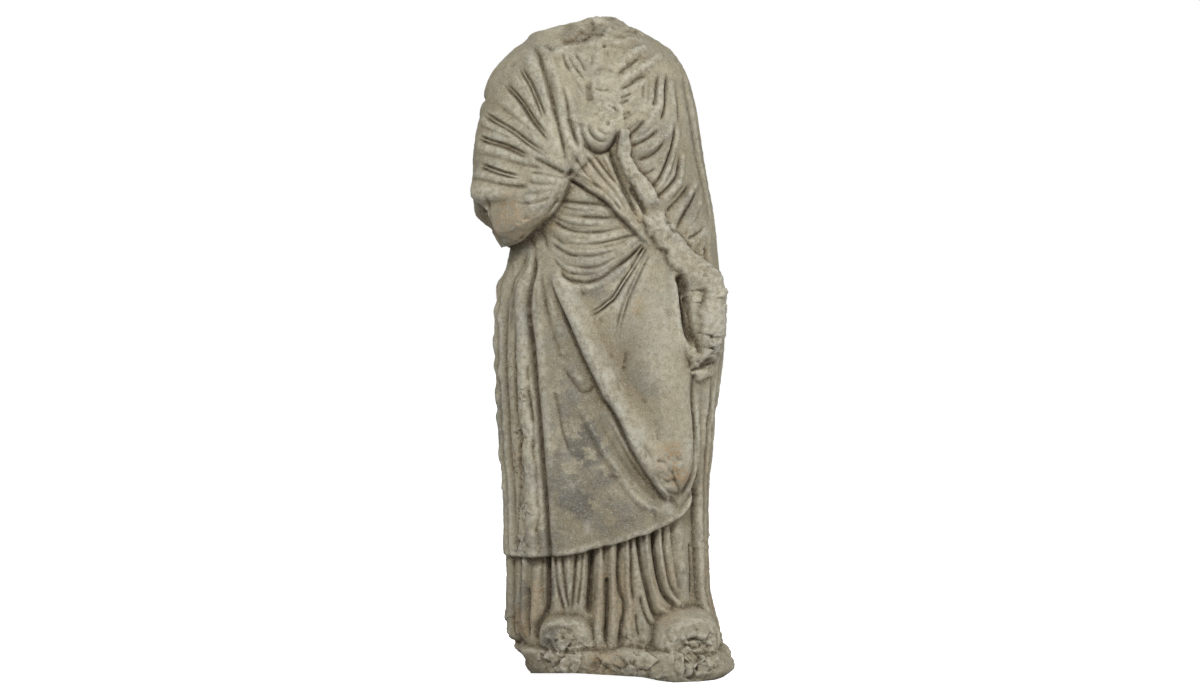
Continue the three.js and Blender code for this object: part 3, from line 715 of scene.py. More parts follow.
@dataclass
class ChestDrapery:
    """Folds of the upper breast: the tunic's vee below the lost neck and the mantle's borders."""

    cuts: Marks = (
        ([(-94, 1384), (-75, 1336), (-53, 1294), (-36, 1258)], 8, 8),
        ([(-82, 1380), (-60, 1340), (-38, 1312)], 6, 6),
        ([(-68, 1384), (-52, 1356), (-38, 1332)], 6, 6),
        ([(-28, 1376), (-29, 1362), (-29, 1348)], 3, 5),
        ([(-2, 1392), (-1, 1366), (-2, 1338)], 4, 5),
        ([(5, 1390), (5, 1366), (3, 1342)], 4, 5),
        ([(26, 1388), (18, 1366), (16, 1350)], 3, 6),
        ([(84, 1378), (62, 1358), (40, 1340), (22, 1326)], 8, 7),
        ([(100, 1330), (74, 1322), (48, 1300), (26, 1290)], 8, 7),
        ([(84, 1350), (64, 1336), (46, 1322)], 4, 6),
        ([(70, 1306), (56, 1292), (40, 1284)], 5, 6),
        ([(60, 1284), (48, 1278), (30, 1270)], 6, 6),
        ([(54, 1268), (44, 1264), (32, 1256)], 6, 6),
        ([(56, 1242), (46, 1238), (36, 1232)], 5, 6),
        ([(-118, 1316), (-108, 1284), (-100, 1262)], 3, 5),
        ([(88, 1318), (83, 1290), (81, 1268)], 5, 6),
        ([(98, 1322), (94, 1290), (90, 1262)], 4, 6),
        ([(-134, 1404), (-120, 1388), (-108, 1380)], 5, 8),
    )
    rolls: Marks = (
        ([(-128, 1398), (-114, 1340), (-98, 1274), (-80, 1196), (-56, 1144), (-18, 1098)], 7, 15),
        ([(-106, 1352), (-82, 1276), (-62, 1206), (-44, 1152), (-10, 1106)], 6, 14),
        ([(-78, 1350), (-58, 1306), (-44, 1262)], 5, 10),
        ([(-20, 1390), (-18, 1360), (-22, 1326)], 3, 12),
        ([(94, 1398), (56, 1376), (26, 1342)], 6, 13),
        ([(118, 1366), (84, 1346), (52, 1326), (30, 1308)], 7, 12),
        ([(96, 1316), (66, 1300), (34, 1280)], 6, 11),
        ([(128, 1380), (112, 1368), (88, 1352)], 4, 14),
    )
    collar: Path = ((-124, 1366), (-96, 1380), (-70, 1394), (-24, 1400), (24, 1402), (52, 1396))

    def strokes(self) -> list[Stroke]:
        """Cuts that run down to the fist from both shoulders, and the rolls between them.

        Returns:
            The strokes, in the order they are cut.
        """
        return [
            *(cut(path, depth, width) for path, depth, width in self.cuts),
            *(ridge(path, height, width, (0.2, 0.2)) for path, height, width in self.rolls),
            drill([(-36, 1322), (-35, 1290), (-31, 1258)], 9, 9, (0.4, 0.2)),
            drill([(-3, 1402), (-2, 1394)], 5, 6, (0, 0)),
            step(self.collar, 7, 12, 26),
            ridge([(-8, 1314), (12, 1314)], 7, 24, (0, 0)),
            ridge([(-88, 1382), (-82, 1376)], 4, 9, (0, 0)),
            drill([(-104, 1402), (-60, 1408), (-20, 1412)], 6, 16, (0.3, 0.3)),
            cut([(-100, 1330), (-84, 1268), (-72, 1206), (-50, 1148)], 7, 7),
            cut([(-30, 1330), (-14, 1340), (6, 1342), (22, 1332)], 4, 6),
            cut([(-26, 1296), (-8, 1288), (14, 1292)], 5, 7),
        ]


@dataclass
class BreastArcs:
    """Deep drilled folds that hang in arcs below the left shoulder."""

    cuts: Marks = (
        ([(120, 1344), (113, 1298), (106, 1268), (98, 1254)], 11, 7),
        ([(139, 1344), (136, 1300), (128, 1254), (116, 1220)], 12, 7),
        ([(128, 1340), (124, 1300), (114, 1262)], 5, 5),
        ([(86, 1228), (68, 1206), (47, 1184)], 12, 7),
        ([(76, 1230), (60, 1212), (46, 1200)], 5, 5),
        ([(116, 1208), (92, 1184), (56, 1164)], 12, 7),
        ([(106, 1216), (84, 1196), (62, 1184)], 5, 5),
        ([(130, 1190), (108, 1152), (68, 1134)], 9, 7),
        ([(114, 1124), (98, 1112), (80, 1104)], 6, 5),
        ([(150, 1226), (147, 1170), (127, 1112), (96, 1070)], 13, 7),
        ([(158, 1196), (156, 1150), (138, 1098), (112, 1066)], 6, 6),
        ([(168, 1162), (161, 1112), (134, 1074), (106, 1052)], 12, 7),
        ([(192, 1096), (166, 1058), (131, 1021)], 11, 7),
        ([(182, 1098), (156, 1062), (130, 1036)], 5, 5),
        ([(203, 1082), (184, 1036), (156, 990)], 11, 7),
        ([(226, 1000), (208, 982), (180, 968)], 8, 6),
        ([(216, 1050), (204, 1016), (186, 992)], 6, 6),
        ([(126, 1110), (124, 1096), (110, 1078)], 4, 5),
        ([(176, 1186), (178, 1130), (168, 1090)], 4, 7),
        ([(158, 1330), (162, 1270), (162, 1220)], 4, 8),
    )
    swells: Paths = (
        [(128, 1342), (124, 1298), (110, 1250), (80, 1208)],
        [(150, 1330), (152, 1250), (134, 1194), (84, 1152)],
        [(158, 1234), (154, 1160), (130, 1098)],
        [(176, 1180), (170, 1110), (136, 1056)],
        [(206, 1110), (184, 1056), (150, 1006)],
        [(214, 1070), (204, 1020), (178, 982)],
    )

    def strokes(self) -> list[Stroke]:
        """Deep cuts, fine ones beside them, and the swell of the cloth between.

        Returns:
            The strokes, in the order they are cut.
        """
        return [
            *(cut(path, depth, width, (0.3, 0.15)) for path, depth, width in self.cuts),
            *(ridge(path, 5, 12, (0.3, 0.2)) for path in self.swells),
        ]


@dataclass
class Sling:
    """The mantle's upper border, drawn in a twisted band from the crook to the left forearm."""

    border_drop: float = 22.0
    band_height: float = 17.0
    border: Path = ((-82, 1104), (-50, 1086), (-20, 1066), (10, 1044), (44, 1008), (80, 972), (118, 940))
    upper: Path = ((40, 1206), (42, 1168), (54, 1125), (72, 1095), (94, 1062), (112, 1026))
    lower: Path = (
        (104, 1036), (122, 984), (150, 948), (184, 912), (214, 876), (229, 836), (227, 780), (222, 735),
        (216, 690),
    )
    cords: Marks = (
        ([(-72, 1158), (-52, 1122), (-20, 1086), (20, 1044), (56, 1004)], 7, 6),
        ([(-50, 1162), (-20, 1118), (18, 1070), (64, 1006)], 8, 6),
        ([(-30, 1160), (2, 1116), (38, 1070), (70, 1014)], 9, 6),
        ([(8, 1172), (22, 1130), (38, 1088), (58, 1040), (76, 1004)], 18, 9),
        ([(54, 1082), (66, 1060), (80, 1036), (92, 1012)], 13, 8),
        ([(-74, 1124), (-44, 1100), (-6, 1070)], 5, 6),
        ([(14, 1052), (44, 1020), (72, 988)], 6, 6),
        ([(36, 1052), (58, 1020), (80, 992)], 6, 6),
        ([(-8, 1150), (14, 1112), (30, 1084)], 6, 6),
    )
    swells: Paths = (
        [(-54, 1154), (-20, 1110), (20, 1062), (62, 1000)],
        [(-34, 1156), (-2, 1112), (34, 1066), (66, 1012)],
        [(-6, 1160), (16, 1116), (38, 1066)],
        [(60, 1056), (76, 1028), (90, 1000)],
    )

    def strokes(self) -> list[Stroke]:
        """The lower border, the cords inside the band, and the ragged ribbon that crosses to the arm.

        Returns:
            The strokes, in the order they are cut.
        """
        return [
            step(self.border, self.border_drop, 8, 60, (0.08, 0.35)),
            Stroke(self.upper, self.band_height, 11, 11, Form.FLAT, Form.FLAT, (0.06, 0.15),
                   widen=2.0, ragged=0.3),
            Stroke(self.lower, self.band_height, 27, 25, Form.FLAT, Form.FLAT, (0.06, 0),
                   widen=1.35, ragged=0.28),
            ridge([(96, 1080), (116, 1030), (150, 970)], 6, 40, (0.2, 0.2)),
            *(cut(path, depth, width, (0.2, 0.2)) for path, depth, width in self.cords),
            *(ridge(path, 5, 8) for path in self.swells),
            cut([(-82, 1098), (-50, 1080), (-20, 1060), (10, 1036), (44, 1000), (74, 967)], 9, 8, (0.1, 0.2)),
        ]


@dataclass
class Fist:
    """Folds wrapped round the veiled hand that grips the border."""

    wraps: Marks = (
        ([(-69, 1220), (-64, 1186), (-56, 1160)], 5, 5),
        ([(-56, 1226), (-50, 1194), (-38, 1170), (-26, 1160)], 5, 5),
        ([(-38, 1222), (-31, 1194), (-13, 1177), (8, 1178)], 7, 5),
        ([(-20, 1216), (-12, 1198), (4, 1189), (16, 1192)], 5, 5),
    )
    rolls: Paths = (
        [(-62, 1216), (-56, 1184), (-44, 1162)],
        [(-44, 1220), (-38, 1190), (-20, 1168)],
        [(-28, 1214), (-20, 1192), (0, 1180)],
    )

    def strokes(self) -> list[Stroke]:
        """Curved cuts under and across the hand, and the rolls between them.

        Returns:
            The strokes, in the order they are cut.
        """
        return [
            *(cut(path, depth, width, (0.4, 0.2)) for path, depth, width in self.wraps),
            *(ridge(path, 3, 8) for path in self.rolls),
            cut([(-52, 1186), (-42, 1166), (-20, 1154), (2, 1156), (18, 1172), (28, 1200)],
                16, 8, (0.3, 0.2)),
            cut([(38, 1222), (46, 1234), (58, 1240)], 5, 5),
            cut([(16, 1250), (28, 1240), (34, 1226)], 4, 6),
            drill([(4, 1214), (6, 1211)], 4, 5, (0, 0)),
        ]


@dataclass
class Belly:
    """Swags between the sleeve and the band, and the strong fold that closes them below."""

    guides: Paths = (
        [(-112, 1050), (-62, 1050), (-12, 1044), (20, 1034), (48, 1010)],
        [(-122, 1008), (-76, 984), (-14, 980), (40, 990), (74, 986)],
        [(-124, 956), (-78, 926), (-16, 922), (40, 941), (80, 970)],
        [(-112, 914), (-80, 873), (-34, 870), (18, 899), (84, 960)],
    )
    # place between the guides, depth, and how soon it dies away at each end
    cuts: Sequence[Sequence[float]] = (
        (0.08, 10, 0.1, 0.6), (0.3, 3, 0.5, 0.3), (0.52, 7, 0.5, 0.1), (0.8, 5, 0.1, 0.7),
        (1.0, 11, 0.1, 0.5), (1.2, 3, 0.6, 0.1), (1.44, 8, 0.5, 0.1), (1.66, 4, 0.1, 0.7),
        (1.9, 10, 0.15, 0.5), (2.1, 3, 0.6, 0.2), (2.36, 7, 0.5, 0.1), (2.68, 6, 0.1, 0.6),
    )
    rolls: Sequence[float] = (0.2, 0.66, 1.1, 1.32, 1.78, 2.0, 2.5)
    short: Marks = (
        ([(-100, 1040), (-72, 1030), (-44, 1026)], 4, 7),
        ([(-60, 1016), (-20, 1012), (26, 1008)], 4, 6),
        ([(-96, 996), (-60, 988), (-28, 986)], 4, 6),
        ([(-10, 1000), (22, 1002), (54, 1004)], 4, 6),
        ([(-118, 976), (-96, 960), (-60, 952)], 4, 6),
        ([(-66, 968), (-52, 967), (-30, 970)], 6, 7),
        ([(-142, 1000), (-130, 962), (-112, 930)], 5, 8),
        ([(-100, 935), (-70, 928), (-40, 932)], 4, 6),
        ([(-20, 944), (18, 950), (56, 972)], 5, 6),
        ([(-60, 900), (-20, 900), (22, 918)], 5, 6),
        ([(-52, 866), (-48, 848), (-38, 836)], 5, 6),
    )
    closing: Path = ((-96, 900), (-84, 878), (-60, 870), (-34, 870), (-4, 882), (28, 906), (84, 958))

    def strokes(self) -> list[Stroke]:
        """Long cuts that draw together below the band, and the soft rolls between them.

        Returns:
            The strokes, in the order they are cut.
        """
        return [
            *(cut(between(self.guides, place), depth, 4 + 0.3 * depth, (start, end))
              for place, depth, start, end in self.cuts),
            *(ridge(between(self.guides, place), 2.5, 13, (0.3, 0.2)) for place in self.rolls),
            *(cut(path, depth, width, (0.35, 0.35)) for path, depth, width in self.short),
            cut(self.closing, 11, 8, (0.12, 0.12)),
            ridge([(-100, 888), (-80, 860), (-36, 856), (10, 882), (60, 930)], 5, 13),
        ]


@dataclass
class ThighRays:
    """Thin hairpin folds that spread from the left forearm over the thigh."""

    # hairpins, and the long faint folds of the thigh
    rays: Sequence[Stroke] = (
        cut([(84, 956), (48, 919), (12, 896)], 8, 6, (0.1, 0.4)),
        cut([(90, 950), (68, 926), (46, 896), (26, 866)], 8, 5, (0.1, 0.4)),
        hairpin([(92, 952), (69, 914), (38, 866), (8, 826), (-15, 808), (-38, 798)], 9, 9.5, (0.1, 0.25)),
        hairpin([(100, 944), (76, 896), (53, 842), (36, 792), (23, 730)], 6, 10, (0.15, 0.35)),
        cut([(78, 950), (52, 925), (26, 905)], 5, 7),
        Stroke([(47, 730), (44, 700), (40, 672)], -4, 5, 14, fade=(0.3, 0.3)),
        Stroke([(60, 860), (50, 810), (46, 760)], -3, 8, 18, fade=(0.3, 0.3)),
        ridge([(150, 860), (160, 780), (168, 700)], 3, 14),
        cut([(130, 840), (138, 790), (136, 740)], 2, 10),
        cut([(112, 850), (116, 790), (112, 740)], 2, 10),
        ridge([(28, 868), (2, 826), (-30, 806)], 3, 8),
    )

    def strokes(self) -> list[Stroke]:
        """The strokes, in the order they are cut."""
        return list(self.rays)


@dataclass
class HipFalls:
    """Long falls from the right hip to the hem, and the folds that wrap the side behind them."""

    groove_depth: float = 24.0
    groove: Path = (
        (-156, 955), (-162, 880), (-167, 800), (-158, 736), (-150, 642), (-139, 520), (-130, 400),
        (-120, 230),
    )
    worn_ridge: Path = ((-180, 930), (-184, 800), (-180, 640), (-172, 540), (-162, 400), (-162, 230))
    cuts: Marks = (
        ([(-174, 944), (-194, 888), (-215, 826)], 8, 12),
        ([(-168, 950), (-188, 880), (-206, 820), (-212, 740)], 6, 11),
        ([(-192, 820), (-197, 722), (-199, 675), (-197, 598), (-187, 548)], 7, 9),
        ([(-185, 560), (-189, 490), (-188, 426), (-195, 330), (-202, 240)], 7, 9),
        ([(-142, 920), (-134, 850), (-120, 780), (-88, 680)], 6, 11),
        ([(-124, 900), (-112, 836), (-94, 780), (-66, 716)], 4, 10),
        ([(-156, 930), (-152, 860), (-150, 790)], 4, 9),
        ([(-150, 930), (-164, 970), (-176, 996)], 4, 9),
        ([(-168, 640), (-160, 600), (-156, 560)], 5, 7),
    )
    side: Paths = (
        draped((905, 700, 500, 200), (-62, -66, -64, -63)),
        draped((925, 700, 500, 200), (-76, -77, -75, -74)),
        draped((935, 700, 500, 200), (-90, -89, -86, -85)),
        draped((940, 700, 500, 200), (-104, -102, -99, -97)),
        draped((940, 700, 500, 200), (-118, -116, -112, -110)),
    )
    ribs: Paths = (
        draped((915, 700, 500, 200), (-69, -71, -69, -68)),
        draped((930, 700, 500, 200), (-83, -83, -80, -79)),
        draped((935, 700, 500, 200), (-97, -96, -92, -91)),
        draped((940, 700, 500, 200), (-111, -109, -106, -104)),
    )
    # degrees and heights of the knocks along the side
    bumps: Sequence[tuple[float, float]] = (
        (-84, 870), (-80, 812), (-85, 744), (-80, 690), (-84, 630), (-81, 572), (-83, 500), (-84, 430),
    )

    def strokes(self) -> list[Stroke]:
        """The deep groove, the worn ridge beside it and the falls round the side.

        Returns:
            The strokes, in the order they are cut.
        """
        return [
            *(ridge([turned(t, z), turned(t + 5, z - 18)], 6, 22, (0, 0)) for t, z in self.bumps),
            cut(self.groove, self.groove_depth, 7.5, (0.12, 0)),
            Stroke(self.worn_ridge, 12, 20, 17, Form.SOFT, Form.FLAT, (0.2, 0), ragged=0.25),
            ridge([(-144, 900), (-146, 800), (-134, 680), (-122, 540), (-112, 400)], 5, 16, (0.3, 0.2)),
            ridge([(-116, 880), (-104, 800), (-80, 740)], 5, 16),
            drill([(-186, 556), (-182, 520), (-188, 492)], 9, 9, (0.3, 0.1)),
            *(cut(path, depth, width) for path, depth, width in self.cuts),
            *(cut(path, 9, 15, (0.2, 0)) for path in self.side),
            *(ridge(path, 7, 20, (0.2, 0)) for path in self.ribs),
        ]


@dataclass
class Lap:
    """The mantle's border that swings from the right hip to the left shin, and the folds below it."""

    height: float = 24.0
    edge: tuple[tuple[float, float], ...] = (
        (-112, 900), (-73, 786), (-52, 732), (-20, 662), (8, 615), (38, 565), (69, 496), (104, 436),
        (142, 386),
    )
    swell: Path = ((-106, 916), (-62, 818), (-36, 764), (-6, 700), (22, 636), (56, 572), (88, 508))
    swing: Path = (
        (-80, 656), (-54, 598), (-23, 541), (8, 487), (35, 445), (69, 397), (108, 372), (134, 362),
    )

    def strokes(self) -> list[Stroke]:
        """The border's step, its twin groove, and the swinging ridges and hollows under it.

        Returns:
            The strokes, in the order they are cut.
        """
        trough = [(x - 6, z - 3) for x, z in self.edge]
        return [
            step(self.edge, self.height, 7, 66, (0.14, 0.08)),
            cut(trough, 8, 6, (0.12, 0.08)),
            cut([(-86, 800), (-58, 738), (-30, 682), (-16, 664)], 7, 8, (0.15, 0.1)),
            Stroke(self.swell, 4, 22, 20, Form.FLAT, Form.FLAT, (0.15, 0.3), ragged=0.3),
            cut([(-92, 690), (-76, 660), (-62, 640), (-48, 630), (-34, 632), (-20, 648)], 5, 7, (0.2, 0.1)),
            ridge([(-78, 690), (-62, 664), (-44, 650)], 4, 14),
            ridge(self.swing, 6, 11, (0.3, 0.1)),
            ridge([(-8, 615), (27, 546), (58, 491), (92, 445), (120, 412), (144, 388)], 5, 9, (0.3, 0.1)),
            cut([(-34, 622), (-8, 560), (19, 510), (62, 446), (96, 408), (128, 382)], 5, 14, (0.3, 0.15)),
            cut([(14, 560), (42, 508), (78, 446), (110, 406)], 5, 8),
            cut([(-112, 634), (-100, 582), (-86, 530), (-76, 500)], 6, 7, (0.1, 0.1)),
            cut([(-86, 520), (-70, 492), (-40, 484)], 3, 7),
            cut([(-60, 590), (-30, 530), (4, 470), (40, 410)], 3, 16),
            ridge([(-100, 480), (-90, 400), (-80, 320)], 3, 30),
        ]


@dataclass
class Knee:
    """The bent left knee and shin under the mantle, with its broken cap."""

    # grooves along the leg's outer side and the cracks across the knee
    marks: Sequence[Stroke] = (
        cut([(184, 676), (188, 596), (190, 556), (187, 500), (178, 440), (160, 396)], 8, 11, (0.2, 0.1)),
        ridge([(198, 640), (200, 560), (196, 480), (182, 420), (160, 384)], 5, 12),
        cut([(204, 470), (194, 416), (176, 382), (152, 360)], 5, 9),
        drill([(201, 420), (200, 394), (198, 372)], 9, 8, (0.1, 0.1)),
        cut([(134, 466), (142, 446), (150, 428), (164, 410)], 7, 6, (0.1, 0.2)),
        cut([(92, 448), (112, 428), (140, 410), (166, 408)], 7, 7, (0.2, 0.1)),
        cut([(104, 484), (118, 482), (126, 478)], 5, 6),
        cut([(140, 492), (152, 484), (164, 478), (168, 464)], 4, 6),
        cut([(78, 520), (92, 498), (98, 484)], 4, 7),
        cut([(20, 660), (30, 644), (32, 630)], 4, 6),
        cut([(108, 556), (110, 536), (112, 524)], 3, 5),
        cut([(176, 560), (178, 540), (176, 528)], 3, 5),
        drill([(140, 398), (158, 378)], 5, 8, (0, 0)),
        cut([(210, 520), (222, 470), (226, 400)], 4, 9),
    )

    def strokes(self) -> list[Stroke]:
        """The strokes, in the order they are cut."""
        return list(self.marks)


@dataclass
class LeftForearm:
    """The hanging left forearm, worn rough and flat, with the hand broken off."""

    thickness: float = 5.0
    strip: Path = ((214, 900), (226, 876), (228, 840), (228, 780), (222, 730), (216, 690))
    recess: Path = ((160, 892), (170, 866), (176, 820), (178, 780), (188, 724))

    def strokes(self) -> list[Stroke]:
        """The swell of the arm, the dark recess beside it, and the broken wrist.

        Returns:
            The strokes, in the order they are cut.
        """
        return [
            ridge(self.strip, self.thickness, 34, (0.4, 0.2)),
            Stroke(self.recess, -22, 11, 13, Form.DOMED, Form.DOMED, (0.1, 0.15)),
            ridge([(172, 850), (179, 810), (184, 760)], 9, 4.5, (0.2, 0.3)),
            cut([(166, 880), (168, 840), (172, 800)], 8, 5, (0.1, 0.3)),
            cut([(170, 842), (180, 850), (190, 852)], 5, 4, (0, 0)),
            ridge([(172, 838), (184, 846)], 8, 7, (0, 0)),
            cut([(178, 676), (198, 684), (218, 694), (236, 704)], 13, 8, (0.1, 0.3)),
            drill([(204, 696), (212, 702)], 12, 8, (0, 0)),
            cut([(186, 704), (196, 694), (212, 684)], 7, 7),
            ridge([(206, 846), (204, 790), (202, 740)], 5, 12),
            drill([(226, 948), (222, 926), (216, 912)], 6, 8),
            cut([(232, 690), (236, 650), (234, 620)], 7, 7),
            cut([(236, 760), (238, 720), (234, 680)], 5, 8),
        ]


@dataclass
class LeftFall:
    """The straight fall at the figure's left side, from the arm to the plinth."""

    falls: Paths = (
        draped((690, 500, 300, 76), (68, 68, 72, 74)),
        draped((730, 520, 300, 76), (79, 79, 81, 82)),
        draped((780, 540, 320, 76), (91, 90, 90, 90)),
        draped((860, 600, 330, 76), (104, 102, 100, 98)),
    )
    ribs: Paths = (
        draped((690, 500, 300, 76), (62, 63, 67, 70)),
        draped((700, 520, 300, 76), (74, 74, 77, 78)),
        draped((760, 540, 320, 76), (85, 85, 86, 86)),
        draped((830, 600, 330, 76), (97, 96, 95, 94)),
    )
    shoulder: Paths = (
        draped((1400, 1250, 1080, 960), (74, 72, 74, 80)),
        draped((1405, 1250, 1050, 860), (88, 84, 84, 88)),
        draped((1405, 1250, 1050, 860), (104, 99, 96, 97)),
        draped((1400, 1250, 1050, 860), (120, 114, 108, 104)),
    )
    shoulder_ribs: Paths = (
        draped((1400, 1250, 1060, 900), (80, 78, 79, 84)),
        draped((1400, 1250, 1050, 860), (96, 92, 90, 92)),
        draped((1400, 1250, 1050, 860), (112, 107, 102, 100)),
    )

    def strokes(self) -> list[Stroke]:
        """Long cuts down the side, over the shoulder's back and beside the knee.

        Returns:
            The strokes, in the order they are cut.
        """
        return [
            cut([(188, 690), (192, 600), (196, 500), (200, 372), (203, 240), (203, 150)], 7, 10, (0.1, 0.2)),
            cut([(214, 240), (226, 180), (244, 134)], 5, 9),
            *(cut(path, 9, 14, (0.15, 0.1)) for path in self.falls),
            *(ridge(path, 6, 19, (0.15, 0.1)) for path in self.ribs),
            *(cut(path, 9, 16, (0.3, 0.2)) for path in self.shoulder),
            *(ridge(path, 6, 24, (0.3, 0.2)) for path in self.shoulder_ribs),
        ]


@dataclass
class BackDrapery:
    """The plainer back: folds that fall in curves from the left shoulder to the right hip and hem."""

    slants: int = 13
    slants_per_guide: int = 4
    fall_cuts: Sequence[float] = (0.0, 0.2, 0.42, 0.62, 0.8, 1.0)
    fall_ribs: Sequence[float] = (0.1, 0.3, 0.52, 0.71, 0.9)
    guides: Paths = (
        [behind(60, 1370), behind(-20, 1290), behind(-120, 1240), behind(-215, 1230)],
        [behind(90, 1330), behind(40, 1130), behind(-80, 1000), behind(-180, 960)],
        [behind(130, 1240), behind(110, 930), behind(0, 690), behind(-150, 600)],
        [behind(175, 1100), behind(165, 800), behind(90, 520), behind(-60, 340)],
    )
    falls: Paths = (
        [behind(-185, 560), behind(-186, 400), behind(-188, 220)],
        [behind(180, 760), behind(186, 480), behind(188, 220)],
    )

    def strokes(self) -> list[Stroke]:
        """Slanting folds above and straight falls below.

        Returns:
            The strokes, in the order they are cut.
        """
        slants = [between(self.guides, place) for place in np.arange(self.slants) / self.slants_per_guide]
        marks = [ridge(path, 8, 32) if i % 2 else cut(path, 11, 19) for i, path in enumerate(slants)]
        marks += [cut(between(self.falls, place), 9, 18, (0.4, 0)) for place in self.fall_cuts]
        marks += [ridge(between(self.falls, place), 6, 28, (0.4, 0)) for place in self.fall_ribs]
        return marks


@dataclass
class TunicPleats:
    """The tunic's pleats between the mantle's hem and the feet."""

    foot: float = 68.0
    under_hem: float = 255.0
    head_fade: float = 12.0
    foot_fade: float = 22.0
    channels: Marks = (
        ([(-200, 300), (-201, 190), (-206, 120)], 9, 8),
        ([(-178, 200), (-176, 150), (-176, 84)], 11, 7),
        ([(-133, 290), (-131, 172), (-138, 140), (-152, 112), (-160, 84)], 25, 13),
        ([(-146, 262), (-144, 190), (-142, 150)], 6, 7),
        ([(-116, 282), (-110, 220), (-90, 146)], 9, 7),
        ([(-100, 285), (-92, 220), (-80, 150)], 8, 6),
        ([(-64, 290), (-70, 220), (-76, 150)], 9, 7),
        ([(-48, 296), (-54, 220), (-62, 160)], 6, 7),
        ([(-31, 300), (-33, 220), (-37, 140)], 25, 13),
        ([(-2, 310), (-3, 286), (-2, 250)], 6, 6),
        ([(6, 228), (5, 150), (3, 74)], 15, 8),
        ([(31, 310), (28, 250), (32, 200), (42, 166), (36, 122), (29, 68)], 11, 8),
        ([(56, 312), (60, 230), (64, 170)], 8, 7),
        ([(71, 320), (82, 258), (96, 196), (116, 138), (138, 128)], 16, 9),
        ([(110, 332), (114, 278), (128, 208), (142, 178), (166, 158)], 20, 10),
        ([(131, 334), (142, 250), (150, 208), (176, 170)], 7, 8),
        ([(154, 330), (160, 260), (176, 184)], 4, 8),
        ([(78, 192), (88, 148), (108, 116), (128, 118)], 8, 8),
        ([(67, 150), (72, 110), (78, 86)], 6, 6),
        ([(86, 330), (98, 240), (110, 186), (134, 150)], 5, 7),
        ([(98, 330), (106, 240), (120, 190)], 5, 6),
        ([(-14, 300), (-18, 220), (-26, 160)], 5, 8),
        ([(44, 310), (47, 220), (54, 110)], 5, 6),
        ([(200, 290), (203, 230), (205, 172)], 6, 8),
    )
    tubes: Marks = (
        ([(-188, 280), (-188, 190), (-190, 100)], 6, 13),
        ([(-155, 250), (-160, 180), (-166, 110)], 8, 15),
        ([(-84, 284), (-80, 220), (-78, 160)], 4, 9),
        ([(-44, 296), (-50, 220), (-54, 150)], 5, 8),
        ([(-12, 300), (-14, 180), (-18, 74)], 10, 13),
        ([(18, 308), (17, 200), (18, 74)], 10, 13),
        ([(46, 314), (52, 200), (54, 80)], 8, 12),
        ([(92, 326), (104, 222), (126, 158), (150, 142)], 9, 10),
        ([(122, 332), (132, 236), (152, 176), (180, 158)], 8, 11),
        ([(172, 340), (180, 250), (192, 160)], 5, 18),
    )
    back_turns: Sequence[float] = (112, 130, 147, 164, 181, 198, 215, 233, 250)

    def strokes(self) -> list[Stroke]:
        """Channels and the rounded tubes between them, then the plainer back.

        Returns:
            The strokes, in the order they are cut.
        """
        marks = [self.in_tunic(path, -1.25 * depth, 1.5 * width, Form.SHARP)
                 for path, depth, width in self.channels]
        marks += [self.in_tunic(path, height, width, Form.SOFT) for path, height, width in self.tubes]
        marks.append(self.in_tunic(draped((262, 170, 62), (-88, -87, -86)), 17, 28, Form.DOMED))
        for i, degrees in enumerate(self.back_turns):
            heights = (320, 190, self.foot)
            channel = draped(heights, (degrees, degrees + (i % 3 - 1), degrees))
            marks.append(self.in_tunic(channel, -9, 16, Form.SHARP))
            tube = draped(heights, (degrees + 8.5, degrees + 8.5, degrees + 8))
            marks.append(self.in_tunic(tube, 4, 16, Form.SOFT))
        return marks

    def in_tunic(self, path: Path, height: float, width: float, form: Form) -> Stroke:
        """A stroke of the tunic that dies away at its foot, and at its head unless that is under the hem.

        Args:
            path: from its head down to its foot.
            height: positive for a tube, negative for a channel.
            width: its reach to either side.
            form: its shape across.

        Returns:
            The stroke.
        """
        head, foot = (knot[1] if isinstance(knot, tuple) else knot.z for knot in (path[0], path[-1]))
        length = head - foot
        at_head = 0.0 if head > self.under_hem else self.head_fade / length
        return Stroke(path, height, width, width, form, form,
                      (at_head, min(0.5, self.foot_fade / length)), Layer.TUNIC)


@dataclass(frozen=True)
class Foot:
    """A worn foot under cloth: the plinth's own face, carried up and rounded over."""

    middle: float
    half_width: float
    top: float
    depth: float = 62.0
    level: float = 52.0
    squareness: float = 3.4
    taper: float = 0.16
    side: float = 110.0

    def mass(self, block: StoneBlock) -> np.ndarray:
        """Height of the foot over the smooth block.

        Args:
            block: the smooth block.

        Returns:
            Heights on the block's grid, far below the stone where there is no foot.
        """
        z = block.points[..., 2]
        face = block.surface(block.azimuth, np.minimum(z, self.level))
        off = (face - block.points) * (1, 1, 0)
        out = np.einsum("ijk,ijk->ij", off, block.normals)
        upward = np.maximum(z - self.level, 0) / (self.top - self.level)
        half_width = self.half_width * (1 + self.taper - self.taper * upward)
        sideways = np.abs(block.points[..., 0] - self.middle) / half_width
        worn_off = sideways**self.squareness + upward**self.squareness
        here = (worn_off < 1.3) & (np.abs(block.azimuth) < math.radians(self.side))
        return np.where(here, out - self.depth * worn_off, NO_STONE)


